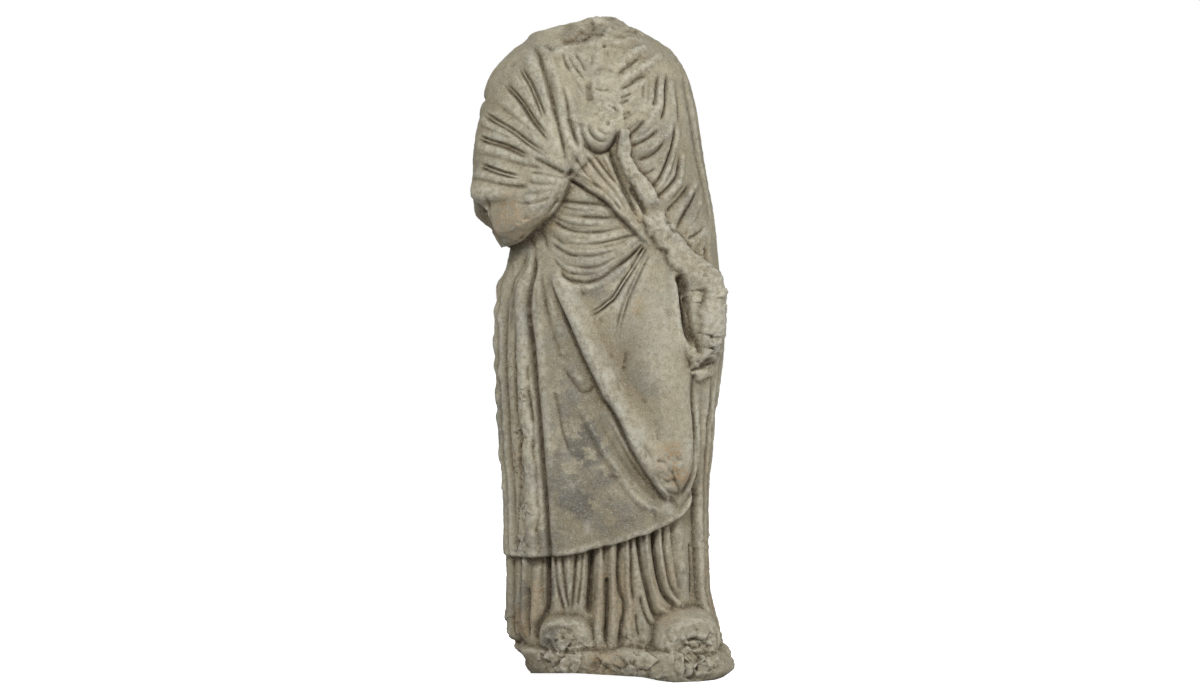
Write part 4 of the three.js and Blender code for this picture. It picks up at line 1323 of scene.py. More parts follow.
@dataclass
class Feet:
    """What is left of the feet: worn masses that grow out of the plinth under arcs of cloth."""

    feet: Sequence[Foot] = (Foot(-90, 68, 150), Foot(192, 84, 156))
    arcs: Marks = (
        ([(-150, 96), (-130, 120), (-92, 130), (-58, 126), (-36, 106)], 6, 11),
        ([(124, 92), (148, 118), (188, 130), (228, 116)], 6, 12),
        ([(146, 72), (160, 92), (188, 102), (212, 92)], 5, 9),
        ([(200, 40), (240, 34)], 7, 26),
    )
    cuts: Marks = (
        ([(-146, 84), (-122, 108), (-88, 116), (-54, 104)], 7, 6),
        ([(-140, 60), (-118, 84), (-108, 50), (-116, 26)], 6, 6),
        ([(-96, 110), (-84, 84), (-88, 40)], 5, 6),
        ([(160, 76), (178, 58), (206, 52), (246, 56)], 9, 8),
        ([(216, 120), (230, 92), (240, 62)], 6, 7),
        ([(180, 96), (196, 84), (206, 66)], 6, 6),
        ([(128, 78), (140, 60), (150, 34)], 7, 6),
        ([(128, 114), (136, 92), (148, 78)], 6, 6),
    )

    def strokes(self) -> list[Stroke]:
        """The cloth that dips over the feet, and the cracks in their broken faces.

        Returns:
            The strokes, in the order they are cut.
        """
        faces = [
            Stroke([(-124, 62), (-96, 76), (-64, 66)], -8, 40, 38, Form.FLAT, Form.FLAT, (0, 0), ragged=0.3),
            Stroke([(176, 76), (206, 66)], -7, 30, 30, Form.FLAT, Form.FLAT, (0, 0), ragged=0.4),
        ]
        marks = [Stroke(path, height, width, width, fade=(0.2, 0.2)) for path, height, width in self.arcs]
        marks += faces + [cut(path, depth, width) for path, depth, width in self.cuts]
        return [replace(mark, layer=Layer.FEET) for mark in marks]

    def mass(self, block: StoneBlock) -> np.ndarray:
        """Height of both feet over the smooth block."""
        return np.max([foot.mass(block) for foot in self.feet], axis=0)


# ---------------------------------------------------------------- stone: hem, breaks and weather


@dataclass(frozen=True)
class Spot:
    """A rounded patch of the surface, set by its middle on the block and its reach each way."""

    at: Knot
    reach: float
    strength: float = 1.0
    stretch: float = 1.0

    def share(self, block: StoneBlock, points: np.ndarray) -> np.ndarray:
        """How strongly the spot takes hold, from 0 outside to its strength in the middle.

        Args:
            block: the block that the middle lies on.
            points: array of x, y, z.

        Returns:
            The share at each point.
        """
        azimuth, z = block.locate(self.at)
        off = points - block.surface(np.array(azimuth), np.array(z))
        off[..., 2] /= self.stretch
        return self.strength * (1 - eased(np.linalg.norm(off, axis=-1), 0.35 * self.reach, self.reach))


@dataclass(frozen=True)
class Break:
    """Stone that has broken away: its patch, the depth lost and the size and height of the facets."""

    at: Knot
    reach: float
    lost: float
    rough: float
    facet: float = 24.0


@dataclass
class Garments:
    """The two garments laid one over the other, with the mantle's hem between them."""

    cloth: float = 17.0
    softness: float = 2.6
    plinth_top: float = 70.0
    feet: Feet = field(default_factory=Feet)
    wave: float = 2.5
    roll: float = 2.5
    roll_rise: float = 6.0
    roll_width: float = 9.0
    roll_turn: float = 60.0
    ledge_wave: float = 6.0
    foot_blend: float = 6.0
    # degrees round the block with 0 at the front, height of the hem
    hem: Sequence[Sequence[float]] = (
        (-90, 262), (-38, 268), (-25, 268), (-12, 276), (0, 293), (20, 323), (43, 356), (50, 374), (57, 402),
        (60, 398), (65, 70), (108, 68), (122, 296), (180, 300), (270, 262),
    )

    def join(self, block: StoneBlock, relief: Relief) -> np.ndarray:
        """Height of the stone over the smooth block, mantle above the hem and tunic below it.

        Args:
            block: the smooth block.
            relief: the carved sheets.

        Returns:
            Heights on the block's grid.
        """
        z = block.points[..., 2]
        round_front = (np.degrees(block.azimuth) + 450) % 360 - 90
        wave = self.wave * Grain(9).layered(block.points, 34, 2)
        hem = SmoothTable(self.hem).read(round_front)[..., 0] + wave
        cover = eased(z, hem - self.softness, hem + self.softness)
        bell = np.exp(-(((z - hem - self.roll_rise) / self.roll_width) ** 2))
        roll = self.roll * bell * (np.abs(round_front) < self.roll_turn)
        ledge = self.plinth_top + self.ledge_wave * Grain(10).layered(block.points, 48, 2)
        clothed = eased(z, ledge - 8, ledge + 6)
        tunic = relief.sheets[Layer.TUNIC] - self.cloth
        bare = np.maximum(tunic, -self.cloth) + self.cloth
        below = bare + (tunic - bare) * clothed
        foot = self.feet.mass(block) + relief.sheets[Layer.FEET]
        blend = 2 * self.foot_blend
        edge = np.clip(foot - below + self.foot_blend, 0, blend)
        below = np.maximum(below, foot) + edge * (blend - edge) / (4 * blend)
        return below * (1 - cover) + (relief.sheets[Layer.MANTLE] + roll) * cover


@dataclass(frozen=True)
class Bumps:
    """An unevenness of the stone: its height, the width of its bumps, and where its noise starts."""

    height: float
    size: float
    start: float = 0.0

    def noise(self, grain: Grain, points: np.ndarray) -> np.ndarray:
        """Noise from -1 to 1 at points."""
        return grain.smooth(points + self.start, self.size)

    def over(self, grain: Grain, points: np.ndarray) -> np.ndarray:
        """Heights at points."""
        return self.height * self.noise(grain, points)


@dataclass
class Weather:
    """Loss and wear of the stone: worn crests, broken faces, pits and the rough plinth.

    wear is the share of what stands proud that is worn off, over forms of wear_size. A broken face
    has big facets, and small ones small_facet times smaller on them, by the two shares.
    """

    wear: float = 0.38
    wear_size: float = 6.0
    wear_patch: float = 60.0
    plinth_rough: float = 3.0
    plinth_edge: float = 12.0
    small_facet: float = 2.3
    facet_shares: tuple[float, float] = (0.5, 0.24)
    bumps: Sequence[tuple[Bumps, Bumps]] = (
        (Bumps(1.3, 48), Bumps(0.7, 17, 300)), (Bumps(0.5, 7, 500), Bumps(0.28, 3.6, 600)),
    )
    # pits, and the noise above which they open
    pits: Sequence[tuple[Bumps, float]] = ((Bumps(1.5, 10, 700), 0.5), (Bumps(2.4, 24, 900), 0.62))
    veins: Bumps = Bumps(0.8, 30, 1100)
    breaks: Sequence[Break] = (
        Break((-262, 1012), 66, 12, 9), Break((-56, 1430), 70, 6, 5, 26),
        Break((-20, 1462), 135, -2, 8, 34), Break((60, 1430), 60, 0, 6),
        Break((224, 730), 66, 3, 11, 20), Break((226, 850), 74, 0, 9, 18),
        Break((196, 940), 62, 0, 6, 15), Break((128, 990), 50, 0, 5, 13),
        Break((130, 462), 46, 5, 5, 20), Break((140, 445), 26, 4, 3, 12),
        Break((-94, 66), 78, 0, 13, 24), Break((200, 62), 88, 0, 15, 26),
        Break((-196, 60), 50, 6, 9, 30), Break((40, 30), 120, 3, 16, 36),
        Break((-180, 620), 34, 1, 7, 10), Break((-182, 540), 36, 2, 8, 10),
        Break((-186, 460), 36, 2, 8, 11), Break((-178, 370), 38, 0, 8, 12),
        Break((-186, 290), 40, 2, 9, 12), Break((4, 1240), 48, 0, 6, 11),
        Break((66, 1110), 34, 0, 5, 11), Break((70, 1350), 60, 0, 4, 14),
        Break((232, 560), 40, 1, 5, 16), Break((228, 300), 40, 1, 6, 18),
        Break((-205, 700), 34, 1, 4, 14), Break((-210, 900), 40, 1, 4, 16),
        Break((160, 640), 26, 0, 1.5, 12), Break((-120, 1350), 34, 0, 2, 14),
        Break((150, 300), 30, 1, 3, 10), Break(behind(0, 40), 200, 2, 9, 34),
        Break(behind(0, 1420), 120, 2, 7, 30), Break(turned(-90, 60), 120, 3, 9, 30),
        Break(turned(90, 60), 100, 2, 9, 30),
    )

    def work(self, block: StoneBlock, height: np.ndarray, garments: Garments) -> np.ndarray:
        """Wear the carved heights.

        Args:
            block: the smooth block.
            height: carved heights on its grid.
            garments: gives the level of the plinth's top.

        Returns:
            Heights of the worn stone.
        """
        points, grain = block.points, Grain(21)
        pace = self.wear_size / block.row_gap / COARSE
        proud = height - blurred(height, pace, pace)
        patchy = 0.75 + 0.5 * grain.smooth(points, self.wear_patch)
        worn = height - self.wear * np.clip(patchy, 0.3, 1.3) * np.maximum(proud, 0)
        for broad, small in self.bumps:
            worn += broad.over(grain, points) + small.over(grain, points)
        for pit, threshold in self.pits:
            worn -= pit.height * eased(pit.noise(grain, points), threshold, 0.95)
        worn += self.veins.height * eased(np.abs(self.veins.noise(grain, points)), 0.05, 0.0)
        top, edge = garments.plinth_top, self.plinth_edge
        rough = eased(points[..., 2], top + edge, top - edge)
        worn += rough * self.plinth_rough * grain.layered(points, 30, 3)
        big_share, small_share = self.facet_shares
        for broken in self.breaks:
            share = Spot(broken.at, broken.reach).share(block, points)
            touched = share > 0
            if touched.any():
                stone = points[touched] + 6 * broken.reach
                small = broken.facet / self.small_facet
                faces = big_share * grain.facets(stone, broken.facet)
                faces = faces + small_share * grain.facets(stone, small)
                worn[touched] += share[touched] * (broken.rough * faces - broken.lost)
        return worn


@dataclass
class Stains:
    """Where dirt, lichen soot, ochre crust and bleaching lie on the stone."""

    soot: Sequence[Spot] = (
        Spot((-40, 520), 80, 1.0, 1.3), Spot((-62, 388), 62, 1.0), Spot((-60, 1424), 60, 0.45),
        Spot((-100, 440), 60, 0.6, 1.6), Spot((-10, 440), 50, 0.7, 1.4),
        Spot((-196, 180), 36, 0.7, 2.0), Spot((-130, 200), 30, 0.7, 2.4),
        Spot((-90, 620), 60, 0.5, 1.6), Spot((20, 350), 70, 0.6), Spot((-110, 88), 38, 0.9),
        Spot((190, 1040), 40, 0.5, 1.5), Spot((-20, 860), 60, 0.4), Spot((-130, 300), 50, 0.6),
        Spot((40, 880), 50, 0.4, 1.5), Spot((-180, 820), 60, 0.35, 2.0), Spot((90, 1180), 60, 0.35),
        Spot((100, 360), 60, 0.4), Spot((-70, 480), 150, 0.35, 1.2), Spot(behind(60, 1250), 160, 0.5),
        Spot(behind(-90, 520), 150, 0.5, 1.8), Spot(behind(120, 700), 130, 0.4, 1.8),
        Spot(turned(-95, 600), 120, 0.4, 2.0),
    )
    ochre: Sequence[Spot] = (
        Spot((150, 452), 42, 1.0), Spot((118, 470), 46, 0.5), Spot((-258, 996), 70, 0.7),
        Spot((-236, 960), 40, 0.6), Spot((-190, 1012), 64, 0.7), Spot((-150, 1000), 50, 0.6),
        Spot((132, 500), 36, 0.9), Spot((-200, 120), 40, 0.8, 1.5), Spot((0, 40), 70, 0.7),
        Spot((-188, 480), 36, 0.5, 2.4), Spot((243, 886), 14, 1.0), Spot((76, 820), 16, 0.5, 2.0),
        Spot((-160, 170), 60, 0.6, 1.6), Spot((20, 190), 90, 0.5, 1.5), Spot((130, 190), 70, 0.4, 1.5),
        Spot((60, 1010), 50, 0.3), Spot((-10, 1100), 60, 0.35), Spot(behind(0, 120), 170, 0.5),
        Spot(turned(90, 200), 100, 0.5, 2.0), Spot((-60, 1424), 60, 0.3),
        Spot(turned(70, 450), 60, 0.4, 2.0),
    )
    pale: Sequence[Spot] = (
        Spot((-88, 500), 12, 1.0, 5.0), Spot((-62, 430), 12, 1.0, 6.0), Spot((-46, 340), 12, 0.9, 5.0),
        Spot((-76, 400), 26, 0.8, 1.2), Spot((-30, 470), 24, 0.7, 1.3), Spot((165, 490), 44, 1.0, 1.6),
        Spot((145, 385), 20, 1.0), Spot((-160, 380), 34, 0.9, 2.6), Spot((-262, 1044), 34, 0.9),
        Spot((-190, 290), 34, 0.8), Spot((200, 1000), 60, 0.5), Spot((100, 1100), 80, 0.5),
        Spot((-150, 560), 36, 0.6, 2.0), Spot((200, 40), 60, 0.6), Spot((-90, 50), 60, 0.5),
        Spot((50, 830), 60, 0.4, 2.0), Spot((120, 760), 70, 0.4, 2.0), Spot((-84, 850), 36, 0.7),
        Spot((-56, 780), 36, 0.8), Spot((-28, 716), 36, 0.8), Spot((6, 656), 36, 0.8),
        Spot((40, 594), 36, 0.8), Spot((72, 536), 36, 0.8), Spot((110, 484), 36, 0.7),
        Spot((126, 1000), 40, 0.7), Spot((168, 934), 46, 0.7), Spot((222, 820), 50, 0.6, 1.8),
        Spot((-186, 760), 24, 0.5, 3.0), Spot((-200, 1180), 60, 0.3), Spot((20, 1300), 60, 0.3),
        Spot(behind(-60, 900), 160, 0.5),
    )

    drift: float = 14.0
    drift_size: float = 46.0

    def lay(self, block: StoneBlock) -> dict[str, np.ndarray]:
        """Shares of each stain on the block's grid, whose edges drift off their rounded patches.

        Args:
            block: the smooth block.

        Returns:
            Grids from 0 to 1 by stain name.
        """
        drift = [Grain(seed).layered(block.points, self.drift_size, 3) for seed in (31, 32, 33)]
        ragged = block.points + self.drift * np.stack(drift, axis=-1)
        kinds = {"soot": self.soot, "ochre": self.ochre, "pale": self.pale}
        return {
            name: np.clip(np.max([spot.share(block, ragged.copy()) for spot in spots], axis=0), 0, 1)
            for name, spots in kinds.items()
        }


@dataclass(frozen=True)
class PaintedShadeAndCrests:
    """Painted shade in creases and hollows, browner in broad ones; crests lightened as worn stone and painted
    highlight.

    near and wide are the spreads of the softened stone that the carving is compared with, in grid
    steps. The stone is also darkened towards the foot, from darken_from down to darken_full.
    """

    near: float = 3.2
    wide: float = 9.0
    crest_spread: float = 1.3
    darken_from: float = 420.0
    darken_full: float = 60.0
    foot_darkening: float = 0.16
    # how fast each mark grows with depth in millimetres, and the depth at which it starts
    deep: tuple[float, float] = (0.05, 2.0)
    sharp: tuple[float, float] = (0.30, 0.6)
    shallow: tuple[float, float] = (0.16, 0.6)
    # worn sets how fast the crests lighten, as worn stone and as painted highlight
    worn: tuple[float, float] = (0.42, 0.0)

    def grown(self, depth: np.ndarray, growth: tuple[float, float]) -> np.ndarray:
        """A mark that grows with depth."""
        rate, start = growth
        return rate * np.maximum(depth - start, 0)

    def lay(self, points: np.ndarray, height: np.ndarray) -> dict[str, np.ndarray]:
        """Shares of each mark on the block's grid.

        Args:
            points: the stone's points.
            height: their heights over the smooth block.

        Returns:
            Grids from 0 to 1 by mark name.
        """
        near, wide = self.near / COARSE, self.wide / COARSE
        crest = near * self.crest_spread
        low = np.maximum(blurred(height, wide, wide) - height, 0)
        crevice = np.maximum(blurred(height, near, near) - height, 0)
        high = np.maximum(height - blurred(height, crest, crest), 0)
        # painted shade: darkest where the stone lies below its softened self, in creases and hollows
        crease_shade = np.clip(self.grown(low, self.deep) + self.grown(crevice, self.sharp), 0, 1)
        foot_darkening = self.foot_darkening * eased(points[..., 2], self.darken_from, self.darken_full)
        return {
            # the painted crease shade, with the darkening towards the foot added, held back on crests
            "crease_shade": np.clip(crease_shade + foot_darkening * (1 - 0.5 * np.clip(0.4 * high, 0, 1)), 0, 1),
            # painted shade, tinted brown, in broad hollows
            "broad_shade": np.clip(self.grown(low, self.shallow), 0, 1),
            # crests lightened: worn bare stone and painted highlight
            "crest": np.clip(self.grown(high, self.worn), 0, 1),
        }


# ---------------------------------------------------------------- finish


@dataclass(frozen=True)
class Film:
    """A thin layer of colour: the noise between which it comes through, and how strongly."""

    low: float
    high: float
    share: float = 1.0


@dataclass(frozen=True)
class WeatheredMarble:
    """Old marble that has yellowed outdoors, with painted shade in its hollows, and crests lightened as bare
    stone and painted highlight.

    Scales are bumps to the metre, and the skin's and the fine grain's depths are in metres.
    """

    light: Colour = (0.300, 0.270, 0.190)
    dark: Colour = (0.200, 0.172, 0.112)
    grey: Colour = (0.190, 0.180, 0.142)
    # near-black brown: the painted shade in creases and hollows, and dark specks of dirt
    dirt_and_shade: Colour = (0.055, 0.038, 0.020)
    shade: Colour = (0.165, 0.142, 0.098)
    crust: Colour = (0.230, 0.142, 0.056)
    # brown painted shade in broad hollows
    broad_shade_brown: Colour = (0.150, 0.112, 0.058)
    soot: Colour = (0.078, 0.074, 0.066)
    # bare stone, also laid on the crests as a painted highlight
    bare: Colour = (0.430, 0.412, 0.345)
    roughness: float = 0.86
    specular: float = 0.28
    cloud_scale: float = 4.0
    patch_scale: float = 17.0
    soot_scale: float = 34.0
    fine_scale: float = 85.0
    chip_scale: float = 140.0
    skin_scale: float = 210.0
    speck_scale: float = 330.0
    streak_scales: tuple[float, float, float] = (38.0, 38.0, 4.5)
    skin_bump: tuple[float, float] = (0.55, 0.0016)
    fine_bump: tuple[float, float] = (0.5, 0.0028)

    def build(self) -> bpy.types.Material:
        """Make the material.

        Returns:
            The material, ready to be put on the stone.
        """
        material = bpy.data.materials.new("weathered_marble")
        material.use_nodes = True
        wiring = Wiring(material.node_tree)
        place = wiring.node("ShaderNodeTexCoord").outputs["Object"]
        cloud = wiring.noise(place, self.cloud_scale, 5)
        patch = wiring.noise(place, self.patch_scale, 6)
        fine = wiring.noise(place, self.fine_scale, 6)
        speck = wiring.noise(place, self.speck_scale, 3)
        streaks = wiring.noise(wiring.stretched(place, self.streak_scales), 1.0, 5)
        smoke = wiring.noise(place, self.soot_scale, 7)
        chips = wiring.noise(place, self.chip_scale, 4)
        colour = wiring.laid(self.dark, self.light, cloud, Film(0.38, 0.62))
        colour = wiring.laid(colour, self.grey, patch, Film(0.42, 0.66, 0.75))
        colour = wiring.laid(colour, self.dark, streaks, Film(0.52, 0.72, 0.35))
        # crests lightened: worn bare stone and painted highlight
        colour = wiring.laid(colour, self.bare, fine, Film(0.30, 0.60, 0.55), "crest")
        colour = wiring.laid(colour, self.bare, patch, Film(0.34, 0.58, 0.6), "pale")
        colour = wiring.laid(colour, self.crust, fine, Film(0.36, 0.56, 0.75), "ochre")
        colour = wiring.laid(colour, self.soot, smoke, Film(0.36, 0.52, 0.85), "soot")
        # brown painted shade in broad hollows
        colour = wiring.laid(colour, self.broad_shade_brown, fine, Film(0.25, 0.60, 0.7), "broad_shade")
        # painted shade in creases and hollows, and the darkening towards the foot
        colour = wiring.laid(colour, self.dirt_and_shade, fine, Film(0.05, 0.50, 0.9), "crease_shade")
        colour = wiring.laid(colour, self.shade, fine, Film(0.58, 0.36, 0.35))
        colour = wiring.laid(colour, self.bare, speck, Film(0.52, 0.68, 0.35))
        colour = wiring.laid(colour, self.dirt_and_shade, speck, Film(0.42, 0.30, 0.55))
        colour = wiring.laid(colour, self.bare, chips, Film(0.64, 0.72, 0.5))
        shader = material.node_tree.nodes["Principled BSDF"]
        shader.inputs["Roughness"].default_value = self.roughness
        shader.inputs["Specular IOR Level"].default_value = self.specular
        wiring.tree.links.new(colour, shader.inputs["Base Color"])
        skin = wiring.bump(wiring.noise(place, self.skin_scale, 6), *self.skin_bump)
        wiring.tree.links.new(wiring.bump(fine, *self.fine_bump, skin), shader.inputs["Normal"])
        return material


class Wiring:
    """Short ways to add and join shader nodes."""

    def __init__(self, tree: bpy.types.NodeTree) -> None:
        """Keep the tree."""
        self.tree = tree

    def node(self, kind: str, **settings: object) -> bpy.types.Node:
        """Add a node and set its options."""
        made = self.tree.nodes.new(kind)
        for name, value in settings.items():
            setattr(made, name, value)
        return made

    def feed(self, socket: bpy.types.NodeSocket, value: object) -> None:
        """Link a socket to another, or set its value.

        Args:
            socket: an input.
            value: an output to link, or a plain value.
        """
        if isinstance(value, bpy.types.NodeSocket):
            self.tree.links.new(value, socket)
        elif isinstance(value, tuple) and len(value) == 3 and socket.type == "RGBA":
            socket.default_value = (*value, 1.0)
        else:
            socket.default_value = value

    def attribute(self, name: str) -> bpy.types.NodeSocket:
        """A value stored on the stone's points."""
        return self.node("ShaderNodeAttribute", attribute_name=name).outputs["Fac"]

    def noise(self, place: bpy.types.NodeSocket, scale: float, detail: int) -> bpy.types.NodeSocket:
        """Cloudy noise.

        Args:
            place: position in the stone.
            scale: bumps to the metre.
            detail: how many finer sizes are laid over them.

        Returns:
            The noise, about 0 to 1.
        """
        made = self.node("ShaderNodeTexNoise")
        self.feed(made.inputs["Vector"], place)
        self.feed(made.inputs["Scale"], scale)
        self.feed(made.inputs["Detail"], float(detail))
        self.feed(made.inputs["Roughness"], 0.62)
        return made.outputs["Fac"]

    def stretched(self, place: bpy.types.NodeSocket, by: tuple[float, float, float]) -> bpy.types.NodeSocket:
        """A position scaled differently each way."""
        made = self.node("ShaderNodeVectorMath", operation="MULTIPLY")
        self.feed(made.inputs[0], place)
        self.feed(made.inputs[1], by)
        return made.outputs[0]

    def ramp(self, value: bpy.types.NodeSocket, low: float, high: float) -> bpy.types.NodeSocket:
        """A smooth rise from 0 at low to 1 at high."""
        made = self.node("ShaderNodeMapRange", interpolation_type="SMOOTHSTEP")
        for name, given in {"Value": value, "From Min": low, "From Max": high}.items():
            self.feed(made.inputs[name], given)
        return made.outputs["Result"]

    def times(self, one: object, other: object) -> bpy.types.NodeSocket:
        """Product of two values."""
        made = self.node("ShaderNodeMath", operation="MULTIPLY")
        self.feed(made.inputs[0], one)
        self.feed(made.inputs[1], other)
        return made.outputs[0]

    def mixed(self, share: bpy.types.NodeSocket, under: object, over: object) -> bpy.types.NodeSocket:
        """One colour laid over another by a share."""
        made = self.node("ShaderNodeMix", data_type="RGBA")
        self.feed(made.inputs[0], share)
        self.feed(made.inputs[6], under)
        self.feed(made.inputs[7], over)
        return made.outputs[2]

    def laid(self, under: object, over: Colour, noise: bpy.types.NodeSocket, film: Film,
             mark: str = "") -> bpy.types.NodeSocket:
        """Lay a film of colour over what is there.

        Args:
            under: the colour so far.
            over: the film's colour.
            noise: the noise that the film comes through.
            film: how it comes through.
            mark: name of a value stored on the stone's points that holds it back, if any.

        Returns:
            The colour with the film on it.
        """
        shows = self.ramp(noise, film.low, film.high)
        if mark:
            shows = self.times(self.attribute(mark), shows)
        return self.mixed(self.times(shows, film.share), under, over)

    def bump(self, height: bpy.types.NodeSocket, strength: float, distance: float,
             normal: Union[bpy.types.NodeSocket, None] = None) -> bpy.types.NodeSocket:
        """Fine unevenness from a height.

        Args:
            height: the height, from 0 to 1.
            strength: how strongly it shows.
            distance: its depth in metres.
            normal: an earlier unevenness to lay it over.

        Returns:
            The surface's direction.
        """
        made = self.node("ShaderNodeBump")
        self.feed(made.inputs["Strength"], strength)
        self.feed(made.inputs["Distance"], distance)
        self.feed(made.inputs["Height"], height)
        if normal is not None:
            self.feed(made.inputs["Normal"], normal)
        return made.outputs["Normal"]


# ---------------------------------------------------------------- the statue


@dataclass
class Statue:
    """The whole stone figure with the stub of its plinth, one closed piece."""

    box: tuple[Vector, Vector]
    triangles: int = 190_000
    sole_centre: tuple[float, float] = (50.0, 5.0)
    sole_rings: int = 5
    chamfer_x: Sequence[float] = (-60, 20, 80, 120, 150)
    chamfer_share: Sequence[float] = (1, 0.78, 0.6, 0.2, 0)
    chamfer_y: float = -9.0
    chamfer_slope: float = 0.145
    margin: float = 2e-4
    parts: Sequence[Callable[[], Carving]] = (
        Masses, ShoulderFan, ElbowBreak, ChestDrapery, BreastArcs, Sling, Fist, Belly, ThighRays, HipFalls,
        Lap, Knee, LeftForearm, LeftFall, BackDrapery, TunicPleats, Feet,
    )
    garments: Garments = field(default_factory=Garments)
    weather: Weather = field(default_factory=Weather)
    stains: Stains = field(default_factory=Stains)
    # painted shade in creases and hollows, and crests lightened partly as painted highlight
    painted_shade: PaintedShadeAndCrests = PaintedShadeAndCrests()
    finish: WeatheredMarble = WeatheredMarble()

    def carve(self) -> tuple[np.ndarray, dict[str, np.ndarray]]:
        """Carve, break and wear the block.

        Returns:
            The stone's points on the block's grid, and the marks that colour it.
        """
        block = StoneBlock()
        relief = Relief(block)
        for part in self.parts:
            strokes = part().strokes()
            for stroke in strokes:
                relief.add(stroke)
            log.info("carved %s: %d strokes", part.__name__, len(strokes))
        carved = self.garments.join(block, relief)
        height = self.weather.work(block, carved, self.garments)
        points = block.points + block.normals * height[..., None]
        points[0, :, 2] = 0.0
        points[..., 2] = np.maximum(points[..., 2], self.broken_foot(points))
        return points, {**self.stains.lay(block), **self.painted_shade.lay(points, height)}

    def broken_foot(self, points: np.ndarray) -> np.ndarray:
        """Height of the underside, which is broken away upward at the front left."""
        x, y = points[..., 0], points[..., 1]
        share = np.interp(x, self.chamfer_x, self.chamfer_share)
        return share * self.chamfer_slope * np.maximum(0, self.chamfer_y - y)

    def mesh(self, points: np.ndarray) -> tuple[np.ndarray, np.ndarray, np.ndarray]:
        """Close the grid into one solid.

        Args:
            points: the stone's points, rows from the sole up.

        Returns:
            Vertices, the corners of its quads, and the corners of its triangles.
        """
        rows, columns = points.shape[:2]
        rim = points[0]
        middle = np.array([*self.sole_centre, 0.0])
        shares = [1 - (k + 1) / (self.sole_rings + 1) for k in range(self.sole_rings)]
        sole = np.stack([middle + share * (rim - middle) for share in shares])
        sole[..., 2] = self.broken_foot(sole)
        skin = np.concatenate([sole[::-1], points])
        count = skin.shape[0] * columns
        column = np.arange(columns)
        follow = (column + 1) % columns
        start = np.arange(skin.shape[0] - 1)[:, None] * columns
        above = start + columns
        quads = np.stack([start + column, start + follow, above + follow, above + column], -1)
        top_row = (skin.shape[0] - 1) * columns
        cap = np.stack([top_row + column, top_row + follow, np.full(columns, count)], -1)
        base = np.stack([follow, column, np.full(columns, count + 1)], -1)
        crown = points[-1].mean(axis=0) + (0, 0, 0.3)
        vertices = np.concatenate([skin.reshape(-1, 3), [crown, middle]])
        return vertices, quads.reshape(-1, 4), np.concatenate([cap, base])

    def fitted(self, vertices: np.ndarray) -> tuple[np.ndarray, np.ndarray]:
        """Move the stone under the middle of the frame's box and keep it inside.

        Args:
            vertices: carved points, in millimetres.

        Returns:
            The points in metres, and how far they were moved, in metres.
        """
        low, high = (np.array(corner) for corner in self.box)
        metres = vertices * MM
        move = (low + high) / 2 - (metres.min(axis=0) + metres.max(axis=0)) / 2
        move[2] = low[2]
        return np.clip(metres + move, low + self.margin, high - self.margin), move

    def build(self) -> tuple[bpy.types.Object, np.ndarray]:
        """Make the piece and dress it.

        Returns:
            The piece, and how far the stone was moved from where it was carved, in metres.
        """
        points, marks = self.carve()
        vertices, quads, triangles = self.mesh(points)
        places, move = self.fitted(vertices)
        mesh = bpy.data.meshes.new("statue")
        mesh.vertices.add(len(places))
        mesh.vertices.foreach_set("co", places.astype(np.float32).ravel())
        corners = np.concatenate([quads.ravel(), triangles.ravel()]).astype(np.int32)
        mesh.loops.add(len(corners))
        mesh.loops.foreach_set("vertex_index", corners)
        sizes = np.concatenate([np.full(len(quads), 4), np.full(len(triangles), 3)]).astype(np.int32)
        starts = np.concatenate([[0], np.cumsum(sizes)[:-1]]).astype(np.int32)
        mesh.polygons.add(len(sizes))
        mesh.polygons.foreach_set("loop_start", starts)
        mesh.update(calc_edges=True)
        mesh.validate()
        mesh.polygons.foreach_set("use_smooth", np.ones(len(mesh.polygons), bool))
        spare = self.sole_rings * points.shape[1]
        for name, grid in marks.items():
            values = np.concatenate([np.zeros(spare), grid.ravel(), [0, 0]]).astype(np.float32)
            mesh.attributes.new(name, "FLOAT", "POINT").data.foreach_set("value", values)
        piece = bpy.data.objects.new("statue_stone", mesh)
        bpy.context.scene.collection.objects.link(piece)
        mesh.materials.append(self.finish.build())
        thin = piece.modifiers.new("thin", "DECIMATE")
        thin.ratio = min(1.0, self.triangles / (2 * len(quads) + len(triangles)))
        log.info("statue_stone: %d points before thinning, ratio %.3f", len(places), thin.ratio)
        return piece, move


# ---------------------------------------------------------------- studio


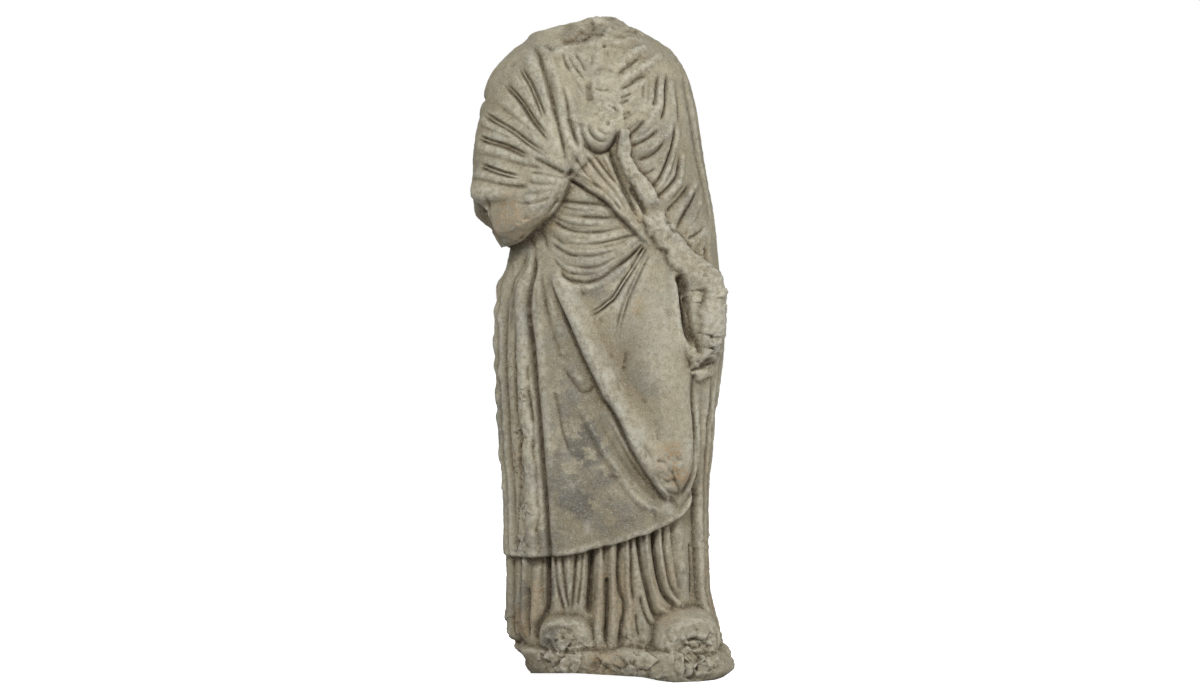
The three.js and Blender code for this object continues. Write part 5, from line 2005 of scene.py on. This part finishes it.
@dataclass
class Studio:
    """A pale floor, soft light and the camera."""

    eye: tuple[float, float, float] = (-10.0, -5000.0, 723.0)
    lens: float = 66.96
    floor_radius: float = 60.0
    ambient: float = 0.40
    lamp_aim: float = 0.75
    # name, place in metres, watts and size in metres
    lamps: Sequence[tuple[str, tuple[float, float, float], float, float]] = (
        ("key", (-0.9, -3.5, 3.3), 160, 1.1), ("fill", (3.6, -2.2, 1.7), 105, 2.0),
        ("back", (-0.6, 3.4, 3.0), 90, 2.4),
    )

    def floor(self) -> bpy.types.Object:
        """Make the floor disc.

        Returns:
            The floor.
        """
        turns = np.linspace(0, 2 * math.pi, 96, endpoint=False)
        rim = [(self.floor_radius * math.cos(t), self.floor_radius * math.sin(t), 0.0) for t in turns]
        mesh = bpy.data.meshes.new("floor")
        mesh.from_pydata(rim, [], [range(len(rim))])
        material = bpy.data.materials.new("pale_floor")
        material.use_nodes = True
        shader = material.node_tree.nodes["Principled BSDF"]
        shader.inputs["Base Color"].default_value = (0.5, 0.5, 0.5, 1)
        shader.inputs["Emission Color"].default_value = (1, 1, 1, 1)
        seen = material.node_tree.nodes.new("ShaderNodeLightPath").outputs["Is Camera Ray"]
        material.node_tree.links.new(seen, shader.inputs["Emission Strength"])
        shader.inputs["Roughness"].default_value = 1.0
        shader.inputs["Specular IOR Level"].default_value = 0.0
        mesh.materials.append(material)
        floor = bpy.data.objects.new("floor", mesh)
        bpy.context.scene.collection.objects.link(floor)
        return floor

    def lamp(self, name: str, at: tuple[float, float, float], power: float, size: float) -> None:
        """Hang a square soft lamp that faces the statue's middle.

        Args:
            name: name of the lamp.
            at: its place, in metres.
            power: in watts.
            size: its side, in metres.
        """
        light = bpy.data.lights.new(name, "AREA")
        light.energy, light.size = power, size
        lamp = bpy.data.objects.new(name, light)
        lamp.location = at
        toward = Vector((0, 0, self.lamp_aim)) - Vector(at)
        lamp.rotation_euler = toward.to_track_quat("-Z", "Y").to_euler()
        bpy.context.scene.collection.objects.link(lamp)

    def light(self) -> None:
        """Set the white surroundings and the lamps."""
        world = bpy.data.worlds.new("studio")
        world.use_nodes = True
        background = world.node_tree.nodes["Background"]
        background.inputs["Color"].default_value = (1, 1, 1, 1)
        seen = world.node_tree.nodes.new("ShaderNodeLightPath").outputs["Is Camera Ray"]
        strength = world.node_tree.nodes.new("ShaderNodeMapRange")
        strength.inputs["To Min"].default_value = self.ambient
        world.node_tree.links.new(seen, strength.inputs["Value"])
        world.node_tree.links.new(strength.outputs["Result"], background.inputs["Strength"])
        bpy.context.scene.world = world
        bpy.context.scene.view_settings.view_transform = "Standard"
        for name, at, power, size in self.lamps:
            self.lamp(name, at, power, size)

    def camera(self, move: np.ndarray) -> None:
        """Place the camera in front of the statue.

        Args:
            move: how far the stone was moved from where it was carved, in metres.
        """
        data = bpy.data.cameras.new("camera")
        data.lens = self.lens
        camera = bpy.data.objects.new("camera", data)
        camera.location = Vector(self.eye) * MM + Vector(move)
        camera.rotation_euler = (math.pi / 2, 0, 0)
        bpy.context.scene.collection.objects.link(camera)
        bpy.context.scene.camera = camera


def main() -> None:
    """Carve the statue, light it and report."""
    logging.basicConfig(level=logging.INFO, format="%(message)s")
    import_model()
    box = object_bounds()
    piece, move = Statue(box).build()
    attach(piece, "root")
    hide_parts("statue")
    studio = Studio()
    studio.floor()
    studio.light()
    studio.camera(move)


if __name__ == "__main__":
    main()
